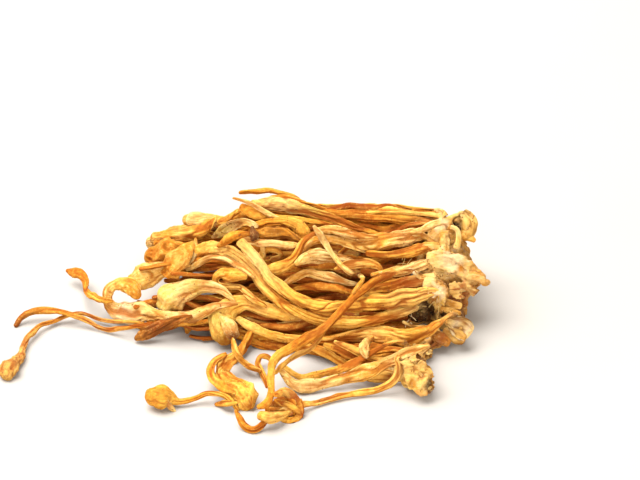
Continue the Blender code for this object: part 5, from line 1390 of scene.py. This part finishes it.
# Lumps and folds that are grown together with the butt, drawn in the same way.
BUTT_GROWTHS = {
    "neck_trunk": (0.55, 0.6, ("cream cream pale white", 0.7, 0.2, 0.4), (
        (25.0, 39.4, 2.4), (25.3, 37.6, 2.8), (25.3, 35.8, 2.9), (25.0, 34.2, 3.6))),
    "crown_cap": (0.6, 0.9, ("white cream white", 0.6, 0.1, 0.8), (
        (25.6, 42.0, 1.2), (27.0, 42.2, 1.7), (28.6, 42.8, 1.5))),
    "upper_skin": (0.30, 0.5, ("cream white cream yellow ochre", 0.8, 0.3, 0.4, 0.3), (
        (21.4, 34.0, 2.6), (24.4, 33.8, 4.0), (27.2, 32.8, 4.8), (29.8, 31.4, 4.2), (31.6, 30.2, 2.6))),
    "right_knob": (0.7, 0.7, ("ochre rust ochre rust", 0.8, 0.1, 1.6, 0.3), (
        (29.4, 30.8, 2.2), (31.2, 30.3, 2.8), (32.6, 29.7, 2.7), (33.5, 29.2, 1.8))),
    "straw_knob": (0.5, 0.3, ("pale ochre pale", 0.8, 0.2, 0.9, 0.4), (
        (28.4, 28.6, 1.8), (30.0, 27.9, 2.4), (31.2, 27.0, 2.0))),
    "brown_fold": (0.2, 0.9, ("ochre rust ochre", 0.8, 0.6, 0.2), (
        (25.6, 28.8, 1.4), (27.4, 28.4, 2.2), (29.2, 27.8, 1.8))),
    "brown_under_fold": (0.2, 0.6, ("ochre rust deep", 0.8, 0.6, 0.2), (
        (25.4, 27.2, 1.4), (27.2, 26.6, 2.0), (28.8, 26.0, 1.6))),
    "white_lump": (0.6, 1.3, ("pale cream white cream", 0.4, 0.1, 0.3, 0.4), (
        (20.8, 28.8, 2.4), (22.6, 28.4, 3.6), (24.0, 27.4, 3.6), (24.7, 26.0, 2.4), (24.8, 24.8, 1.2))),
    "hollow_rim": (0.25, 0.5, ("pale ochre pale", 0.6, 0.6, 0.2), (
        (18.4, 17.0, 1.2), (20.2, 15.6, 1.6), (22.4, 15.4, 1.4))),
    "lobe_left_sheet": (0.3, 1.6, ("cream pale pale cream", 0.9, 0.4, 0.2, 0.5), (
        (16.4, 14.0, 1.8), (17.8, 12.6, 3.4), (18.4, 10.6, 3.8), (18.4, 8.6, 2.4))),
    "lobe_right_sheet": (0.3, 1.8, ("pale buff ochre pale", 0.9, 0.4, 0.2, 0.6), (
        (19.2, 13.6, 2.0), (20.6, 12.0, 3.4), (21.1, 9.8, 3.4), (20.4, 8.0, 2.2))),
    "lobe_dark_end": (0.5, 1.6, ("grey soil grey", 0.9, 0.3, 0.8, 0.4), (
        (21.4, 10.6, 1.2), (22.0, 9.4, 1.8), (21.8, 8.2, 1.6))),
    "lobe_bump": (0.6, 1.9, ("pale ochre pale", 0.8, 0.1, 0.4, 0.4), (
        (18.6, 8.4, 1.6), (20.0, 7.9, 2.2), (21.2, 7.6, 1.5))),
}

# Patches of colour on the butt, on the front sheet: (across, up, radius, colour, share, pit depth). The
# near-black and brown patches over the pits in the pocket, the crown hole and the hollow are painted shade,
# and the white patch on the ridge at (18.4, 32.4) is a painted highlight.
BUTT_PATCHES = (
    (26.6, 33.2, 3.2, "white", 0.75, 0.0), (22.4, 31.6, 2.6, "cream", 0.7, 0.0),
    (18.4, 32.4, 2.4, "white", 0.9, 0.0), (23.6, 27.0, 2.3, "white", 0.8, 0.0),
    (29.4, 39.0, 2.4, "ochre", 0.7, 0.2), (24.2, 41.0, 2.1, "white", 0.7, 0.0),
    (27.6, 40.6, 1.3, "soil", 1.0, 1.0), (32.0, 29.8, 2.6, "ochre", 0.8, 0.0),
    (28.2, 31.8, 0.8, "orange", 0.9, 0.5), (28.0, 26.4, 3.0, "rust", 0.9, 0.2),
    (20.4, 22.7, 3.3, "brown", 1.0, 0.5), (25.0, 22.0, 1.5, "soil", 1.0, 0.9),
    (20.8, 24.4, 1.8, "soil", 1.0, 1.2), (19.4, 23.0, 2.3, "soil", 1.0, 1.5),
    (21.4, 21.9, 2.2, "soil", 1.0, 1.5), (17.6, 21.4, 1.2, "white", 0.9, 0.0),
    (27.4, 24.0, 1.6, "rust", 0.9, 0.4), (23.6, 17.6, 2.2, "rust", 0.9, 0.3),
    (20.6, 15.9, 1.7, "soil", 1.0, 0.6), (18.9, 11.2, 3.4, "pale", 0.6, 0.0),
    (21.9, 9.0, 1.9, "soil", 0.9, 0.5), (19.0, 12.6, 1.2, "ochre", 0.8, 0.4),
    (20.0, 10.8, 0.9, "rust", 0.7, 0.5), (18.2, 9.4, 0.9, "ochre", 0.8, 0.4),
)


def flap_surface(flaps, first_seed):
    """Flaps, stubs and knobs of the butt, each resting on the butt's lobes."""
    surface = Surface()
    over = front_lobes_as_stalks()
    for number, (share, lift, look, route) in enumerate(flaps.values()):
        rows = smooth_through(route, SAMPLE_STEP)
        places, half_width = rows[:, :2], 0.5 * rows[:, 2]
        half_thick = np.maximum(half_width * share, FLAP_THINNEST)
        depth = FRONT.depth_at_height(places[:, 1], front_height(*places.T) + lift)
        for lobe in over:
            depth = np.maximum(depth, least_over_stalk(lobe, places, half_width, half_thick) - FLAP_SINK)
        depth = settle(depth, least_over_table(FRONT, places, half_width, half_thick))
        add_stalk(surface, FRONT.to_model(*places.T, depth), half_width, half_thick, FRONT.toward, look,
                  first_seed + number)
    return surface


def collar_surface():
    """Sleeves of skin around the roots, before they are grown together with the butt."""
    surface = Surface()
    for number, (centres, half_width, half_thick, toward) in enumerate(COLLARS):
        add_stalk(surface, centres, half_width, half_thick, toward, COLLAR_LOOK, COLLAR_SEED + number)
    return surface


def thread_surface():
    """Fine white threads over the dark pocket in the butt, and frayed fibres beside it."""
    rng = np.random.default_rng(5)
    surface = Surface()
    over = front_lobes_as_stalks()
    half = np.full(THREAD_SAMPLES, THREAD_HALF_WIDTH)
    t = np.linspace(0.0, 1.0, THREAD_SAMPLES)[:, None]
    for across, up, long, spread, count, colour in THREADS:
        for number in range(count):
            start = np.array((across, up)) + rng.uniform(-0.5, 0.5, 2) * spread
            angle = rng.uniform(0.0, 6.28)
            bow = rng.uniform(-0.5, 0.5) * t * (1.0 - t) * np.array(((-math.sin(angle), math.cos(angle)),))
            places = start + long * (t * np.array(((math.cos(angle), math.sin(angle)),)) + bow)
            depth = FRONT.depth_at_height(places[:, 1], front_height(*places.T) + THREAD_LIFT)
            for lobe in over:
                depth = np.maximum(depth, least_over_stalk(lobe, places, half, half) + THREAD_GAP)
            add_stalk(surface, FRONT.to_model(*places.T, depth), half, half, FRONT.toward,
                      (colour + " " + colour, 0.0, 0.0, 0.0), THREAD_SEED + number)
    return surface


def grown_together(name, pieces):
    """One even skin around several closed forms, as its places in mm, its normals and its faces."""
    with bpy.context.temp_override(active_object=pieces[0], selected_editable_objects=pieces,
                                   object=pieces[0], selected_objects=pieces):
        bpy.ops.object.join()
    piece = pieces[0]
    grid = piece.modifiers.new("one skin", "REMESH")
    grid.mode = "VOXEL"
    grid.voxel_size = BUTT_VOXEL * MM
    smooth = piece.modifiers.new("rounded", "SMOOTH")
    smooth.factor = 0.5
    smooth.iterations = SMOOTH_ROUNDS
    mesh = bpy.data.meshes.new_from_object(piece.evaluated_get(bpy.context.evaluated_depsgraph_get()))
    mesh.name = name
    bpy.data.objects.remove(piece, do_unlink=True)
    places = np.empty(3 * len(mesh.vertices))
    normals = np.empty(3 * len(mesh.vertices))
    mesh.vertices.foreach_get("co", places)
    mesh.vertex_normals.foreach_get("vector", normals)
    faces = [tuple(face.vertices) for face in mesh.polygons]
    return places.reshape(-1, 3) / MM, normals.reshape(-1, 3), faces


def butt_form():
    """The butt's solid, with the roots' collars and its own growths grown together with it."""
    solid = bpy.data.objects.new("butt form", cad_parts["butt"].data.copy())
    bpy.context.scene.collection.objects.link(solid)
    collars = collar_surface().to_object("butt collars", FINISHES["butt_crust"])
    growths = flap_surface(BUTT_GROWTHS, GROWTH_SEED).to_object("butt growths", FINISHES["butt_crust"])
    return grown_together("butt form", [solid, collars, growths])


def stained(tint, colour, share):
    """Rows of colour, mixed toward a named one by a share for each row."""
    return blend(tint, np.array(PALETTE[colour]), share[:, None])


def butt_surface():
    """The crusted butt: crumpled skin where the stalks merge, a porous cut end, and dark pits, most of them
    painted shade.
    """
    places, normals, faces = butt_form()
    warp = WARP * np.column_stack([lumps(places / WARP_SIZE, WARP_SEED + band) for band in range(3)])
    crumple, pleat, wisp, crumb = (
        level - np.abs(lumps(places / (along, across, across) + share * warp, seed))
        for along, across, share, level, seed in CRUST_FORMS.values())
    grit = lumps(places / 0.36, 35)
    cut = np.clip((places[:, 0] - CUT_FROM_X) / CUT_GROWS + 0.35 * lumps(places / 2.2, 36), 0.0, 1.0)
    cut *= np.clip(1.6 * normals[:, 0], 0.0, 1.0)
    pores = creases(places, 0.25, 41) * cut

    height = (0.36 * crumple + 0.30 * pleat * (1.0 - cut) + 0.16 * wisp + (0.06 + 0.22 * cut) * crumb
              + (0.02 + 0.06 * cut) * grit - 0.40 * pores - CRUST_SINK)
    # groove: painted shade in the crust's hollows and pores; ridge: paler crests, partly painted highlight.
    groove = np.clip(0.55 - 1.1 * (crumple + 0.5) * (pleat + 0.5) - 0.8 * wisp + 0.8 * pores, 0.0, 1.0)
    ridge = np.clip(1.2 * crumple + 0.8 * pleat + 0.9 * wisp + 0.4 * crumb - 0.45, 0.0, 1.0)

    shade = (0.5 + lumps(places / 2.6, 37))[:, None]
    tint = BUTT_SHADE * blend(np.array(PALETTE["cream"]), np.array(PALETTE["pale"]), shade)
    tint = stained(tint, "ochre", np.clip(1.6 * lumps(places / 3.1 + warp, 38) - 0.35, 0.0, 1.0))
    tint = stained(tint, "ochre", 0.7 * cut)
    tint = stained(tint, "brown", cut * np.clip(2.2 * lumps(places / 1.9, 42), 0.0, 1.0))

    on_sheet, _ = FRONT.from_model(places)
    facing = np.clip(2.0 * normals @ FRONT.toward + 0.6, 0.0, 1.0)
    edge = 1.0 + 0.45 * lumps(places / 0.9, 39) + 0.25 * lumps(places / 0.4, 40)
    # Dark patches over the pits are painted shade, and the white one on the ridge at (18.4, 32.4) is a
    # painted highlight.
    for across, up, radius, colour, share, pit in BUTT_PATCHES:
        apart = np.linalg.norm(on_sheet - (across, up), axis=1) / radius * edge
        inside = np.clip(PATCH_EDGE - PATCH_EDGE * apart, 0.0, 1.0) * facing
        tint = stained(tint, colour, share * inside)
        height -= pit * np.clip(PIT_REACH - apart, 0.0, 1.0) * facing
        if colour in DARK_PATCHES:
            ridge *= 1.0 - inside
        elif colour == "white":
            groove *= 1.0 - 0.6 * inside

    places = places + height[:, None] * normals
    places[:, 2] = np.maximum(places[:, 2], 0.0)
    surface = Surface()
    surface.add(places, faces, groove, ridge, tint, places * BUTT_GRAIN)
    return surface


# ---------------------------------------------------------------- inner stalks

HEART_COUNT = 60
HEART_SAMPLES = 90
FRONT_FILL_COUNT = 44
FILL_SAMPLES = 9
INNER_ROOT_X = (24.0, 23.0)
INNER_SHARES = (0.9, 0.1, 0.0)
# Colours of the inner stalks, dark as painted shade inside the heap.
FRONT_FILL_SHADE_COLOURS = ("deep orange deep", "rust deep orange", "deep rust deep")
HEART_SHADE_COLOURS = ("rust deep rust", "deep orange deep", "brown rust deep")
FILL_SEED = 200
HEART_SEED = 300

# How much coarser their meshes are than the outer stalks', because they hardly show.
FRONT_FILL_COARSER = 2.4
HEART_COARSER = 4.0


def add_front_fill(surface, rng):
    """Stalks just under the front ones, painted dark as shade."""
    for number in range(FRONT_FILL_COUNT):
        up = 17.0 + 26.5 * (number + rng.uniform(0.2, 0.8)) / FRONT_FILL_COUNT
        tip = rng.uniform(-22.0, -8.0) if 20.0 < up < 40.0 else rng.uniform(-14.0, -4.0)
        across = np.linspace(INNER_ROOT_X[0], tip, FILL_SAMPLES)
        wave = rng.uniform(-1.1, 1.1, FILL_SAMPLES)
        width = np.linspace(2.0, rng.uniform(0.8, 1.4), FILL_SAMPLES)
        drawn = ("deep", 0.7, 0.7, rng.uniform(-3.6, -1.3), np.column_stack((across, up + wave, width)))
        stalk = laid_stalk(FRONT, "", drawn, [])
        look = (rng.choice(FRONT_FILL_SHADE_COLOURS), *INNER_SHARES)
        add_stalk(surface, stalk.centres(), stalk.half_width, stalk.half_thick, FRONT.toward, look,
                  FILL_SEED + number, coarser=FRONT_FILL_COARSER)


def add_heart_fill(surface, rng):
    """Wavy stalks through the heart of the heap, painted dark as shade, where there is room between its
    faces.
    """
    for number in range(HEART_COUNT):
        y = rng.uniform(-2.2, 22.8)
        room = min(0.83 * (y + 4.8), 3.4 * (25.8 - y)) - 2.6
        if room < 1.4:
            continue
        z = rng.uniform(1.2 if y < 10.0 else 4.5, max(room, 4.6))
        tip = rng.uniform(-22.0, -8.0) if y < 12.0 else rng.uniform(-10.0, 2.0)
        x = np.linspace(INNER_ROOT_X[1], tip, HEART_SAMPLES)
        phase = rng.uniform(0.0, 6.28, 4)
        y_wave = 1.3 * np.sin(x / 6.5 + phase[0]) + 0.6 * np.sin(x / 2.9 + phase[1])
        z_wave = 0.9 * np.sin(x / 5.5 + phase[2]) + 0.4 * np.sin(x / 2.5 + phase[3])
        half = np.linspace(1.3, rng.uniform(0.5, 0.8), HEART_SAMPLES)
        centres = np.column_stack((x, y + y_wave, np.maximum(z + z_wave, 1.25 * half)))
        look = (rng.choice(HEART_SHADE_COLOURS), *INNER_SHARES)
        add_stalk(surface, centres, half, 0.7 * half, np.array((0.0, 0.0, 1.0)), look,
                  HEART_SEED + number, coarser=HEART_COARSER)


def inner_surface():
    """Thin stalks in the heart of the cluster, painted dark as shade, which show only between the outer
    ones.
    """
    rng = np.random.default_rng(7)
    surface = Surface()
    add_front_fill(surface, rng)
    add_heart_fill(surface, rng)
    return surface


# ---------------------------------------------------------------- the cluster

FIRST_SEED = 3
SPRIG_SEED = 100
FLAP_SEED = 400
BACK_EXTRA_COUNT = 6
BACK_EXTRA_SEED = 600
BACK_EXTRA_SAMPLES = 9
BACK_EXTRA_SINK = 0.9
BACK_EXTRA_HEIGHTS = (1.2, 19.0)
BACK_EXTRA_COLOURS = ("cream pale yellow orange", "orange yellow orange yellow", "pale orange orange pale",
                      "yellow orange deep orange")
BACK_EXTRA_SLOTS = ("amber_stalk", "golden_stalk", "cream_stalk")


def place_piece(surface, name, slot_name, *nodes):
    """Puts a surface in the scene as a piece of the object, in the slot's finish."""
    piece = surface.to_object(name, FINISHES[slot_name])
    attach(piece, "root")
    if nodes:
        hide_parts(*nodes)


def butt_lookup():
    """The butt's vertices in mm, to find where a root meets it."""
    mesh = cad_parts["butt"].data
    tree = kdtree.KDTree(len(mesh.vertices))
    for number, vert in enumerate(mesh.vertices):
        tree.insert(vert.co / MM, number)
    tree.balance()
    return tree


def place_stalks(laid):
    """The stalks that have a solid of their own, each laid over those before it."""
    for sheet, routes in ((FRONT, FRONT_ROUTES), (BACK, BACK_ROUTES)):
        for name, drawn in routes.items():
            laid.append(laid_stalk(sheet, name, drawn, laid))
            surface = stalk_surface(laid[-1], STALK_LOOKS[name], len(laid) + FIRST_SEED)
            place_piece(surface, name + "_skin", SLOT_OF_TONE[drawn[0]], name)


def place_sprigs(laid):
    """The small strands: those over the rest are lowered and pressed into what they cross."""
    for number, (name, drawn) in enumerate(OVER_SPRIGS.items()):
        tone, *shares, lift, route = drawn
        stalk = laid_stalk(FRONT, name, (tone, *shares, lift - SPRIG_LOWER, route), laid, SPRIG_ROUNDS)
        stalk.whole.depth -= PRESSED_SPRIGS.get(name, SPRIG_SINK)
        surface = stalk_surface(stalk, SPRIG_LOOKS[name], SPRIG_SEED + number + len(laid) + FIRST_SEED)
        place_piece(surface, name, SLOT_OF_TONE[tone])
    for number, (name, drawn) in enumerate(UNDER_SPRIGS.items()):
        stalk = laid_stalk(FRONT, name, drawn, [])
        surface = stalk_surface(stalk, SPRIG_LOOKS[name], SPRIG_SEED + number + FIRST_SEED)
        place_piece(surface, name, SLOT_OF_TONE[drawn[0]])


def place_back_strands(laid):
    """Finer stalks over the back face, so that it is as tangled as the front."""
    rng = np.random.default_rng(11)
    for number in range(BACK_EXTRA_COUNT):
        root, tip = rng.uniform(2.0, 18.0, 2)
        across = np.linspace(24.0, rng.uniform(-26.0, -6.0), BACK_EXTRA_SAMPLES)
        bend = np.linspace(0.0, 1.0, BACK_EXTRA_SAMPLES)
        up = root + (tip - root) * bend ** 1.5 + rng.uniform(-0.8, 0.8, BACK_EXTRA_SAMPLES)
        width = np.interp(bend, (0.0, 0.5, 0.8, 0.93, 1.0),
                          (1.4, rng.uniform(0.9, 1.3), rng.uniform(0.9, 1.2), rng.uniform(1.4, 2.6), 0.9))
        route = np.column_stack((across, np.clip(up, *BACK_EXTRA_HEIGHTS), width))
        laid.append(laid_stalk(BACK, "", ("orange", 0.65, 0.75, -1.5, route), laid))
        laid[-1].whole.depth -= BACK_EXTRA_SINK
        look = (str(rng.choice(BACK_EXTRA_COLOURS)), 1.1, 0.2, 0.7)
        place_piece(stalk_surface(laid[-1], look, BACK_EXTRA_SEED + number), f"back_sprig_{number + 1}",
                    BACK_EXTRA_SLOTS[number % 3])


def make_cluster():
    laid = []
    place_stalks(laid)
    place_sprigs(laid)
    place_back_strands(laid)
    place_piece(butt_surface(), "butt_skin", "butt_crust", "butt")
    place_piece(flap_surface(BUTT_FLAPS, FLAP_SEED), "butt_flaps", "butt_crust")
    place_piece(thread_surface(), "butt_threads", "butt_crust")
    place_piece(inner_surface(), "inner_stalks", "amber_stalk")


# ---------------------------------------------------------------- floor, light and camera

# These are in metres, as Blender's own values are.
FLOOR_HALF = 1.2
FLOOR_DULL = (0.42, 0.400, 0.378, 1.0)
FLOOR_WHITE = (0.44, 0.420, 0.398, 1.0)
SKY_COLOUR = (1.0, 0.95, 0.87, 1.0)
SKY_STRENGTH = 0.84

# name: (place, size, power, colour). Each light is turned to the cluster.
LIGHTS = {
    "softbox above and behind": ((-0.22, 0.10, 0.60), 0.7, 11.0, (1.0, 0.98, 0.95)),
    "front fill": ((0.1, -0.8, 0.28), 0.6, 4.6, (1.0, 0.95, 0.88)),
}

# The camera, in mm: how far off it is, how wide a view it takes in there, and where it aims.
CAMERA_AWAY = 900.0
VIEW_WIDTH = 128.0
SENSOR = 36.0
AIM_UP = 37.6
AIM_DEPTH = -22.0


def make_floor():
    mesh = bpy.data.meshes.new("floor")
    half = FLOOR_HALF
    mesh.from_pydata([(-half, -half, 0), (half, -half, 0), (half, half, 0), (-half, half, 0)], [],
                     [(0, 1, 2, 3)])
    floor = bpy.data.objects.new("floor", mesh)
    bpy.context.scene.collection.objects.link(floor)
    material, wires, shader = new_material("floor white")
    cloudy = wires.noise(wires.add("ShaderNodeTexCoord", outputs="Object"), 9.0)
    wires.plug(shader["Base Color"], wires.mix(wires.step(cloudy, 0.2, 0.8), FLOOR_DULL, FLOOR_WHITE))
    shader["Roughness"].default_value = 0.7
    shader["Specular IOR Level"].default_value = 0.2
    mesh.materials.append(material)


def make_light():
    world = bpy.data.worlds.new("soft room")
    world.use_nodes = True
    sky = world.node_tree.nodes["Background"]
    sky.inputs["Color"].default_value = SKY_COLOUR
    sky.inputs["Strength"].default_value = SKY_STRENGTH
    bpy.context.scene.world = world
    for name, (place, size, power, colour) in LIGHTS.items():
        light = bpy.data.lights.new(name, "AREA")
        light.shape = "DISK"
        light.size = size
        light.energy = power
        light.color = colour
        lamp = bpy.data.objects.new(name, light)
        lamp.location = place
        lamp.rotation_euler = (-Vector(place)).to_track_quat("-Z", "Y").to_euler()
        bpy.context.scene.collection.objects.link(lamp)


def make_camera():
    """Looks square on at the front sheet, as the photograph does."""
    aim = FRONT.to_model(np.array((0.0,)), np.array((AIM_UP,)), np.array((AIM_DEPTH,)))[0]
    camera = bpy.data.cameras.new("camera")
    camera.sensor_width = SENSOR
    camera.lens = SENSOR * CAMERA_AWAY / VIEW_WIDTH
    camera.clip_end = 10.0
    holder = bpy.data.objects.new("camera", camera)
    holder.location = Vector((aim + CAMERA_AWAY * FRONT.toward) * MM)
    holder.rotation_euler = (math.pi / 2 - SHEET_LEAN, 0.0, 0.0)
    bpy.context.scene.collection.objects.link(holder)
    bpy.context.scene.camera = holder
    bpy.context.scene.view_settings.view_transform = "Standard"


FINISHES = {name: skin_material(name) for name in SKIN_FINISHES}
BUTT_TREE = butt_lookup()
COLLARS = []
make_cluster()
make_floor()
make_light()
make_camera()
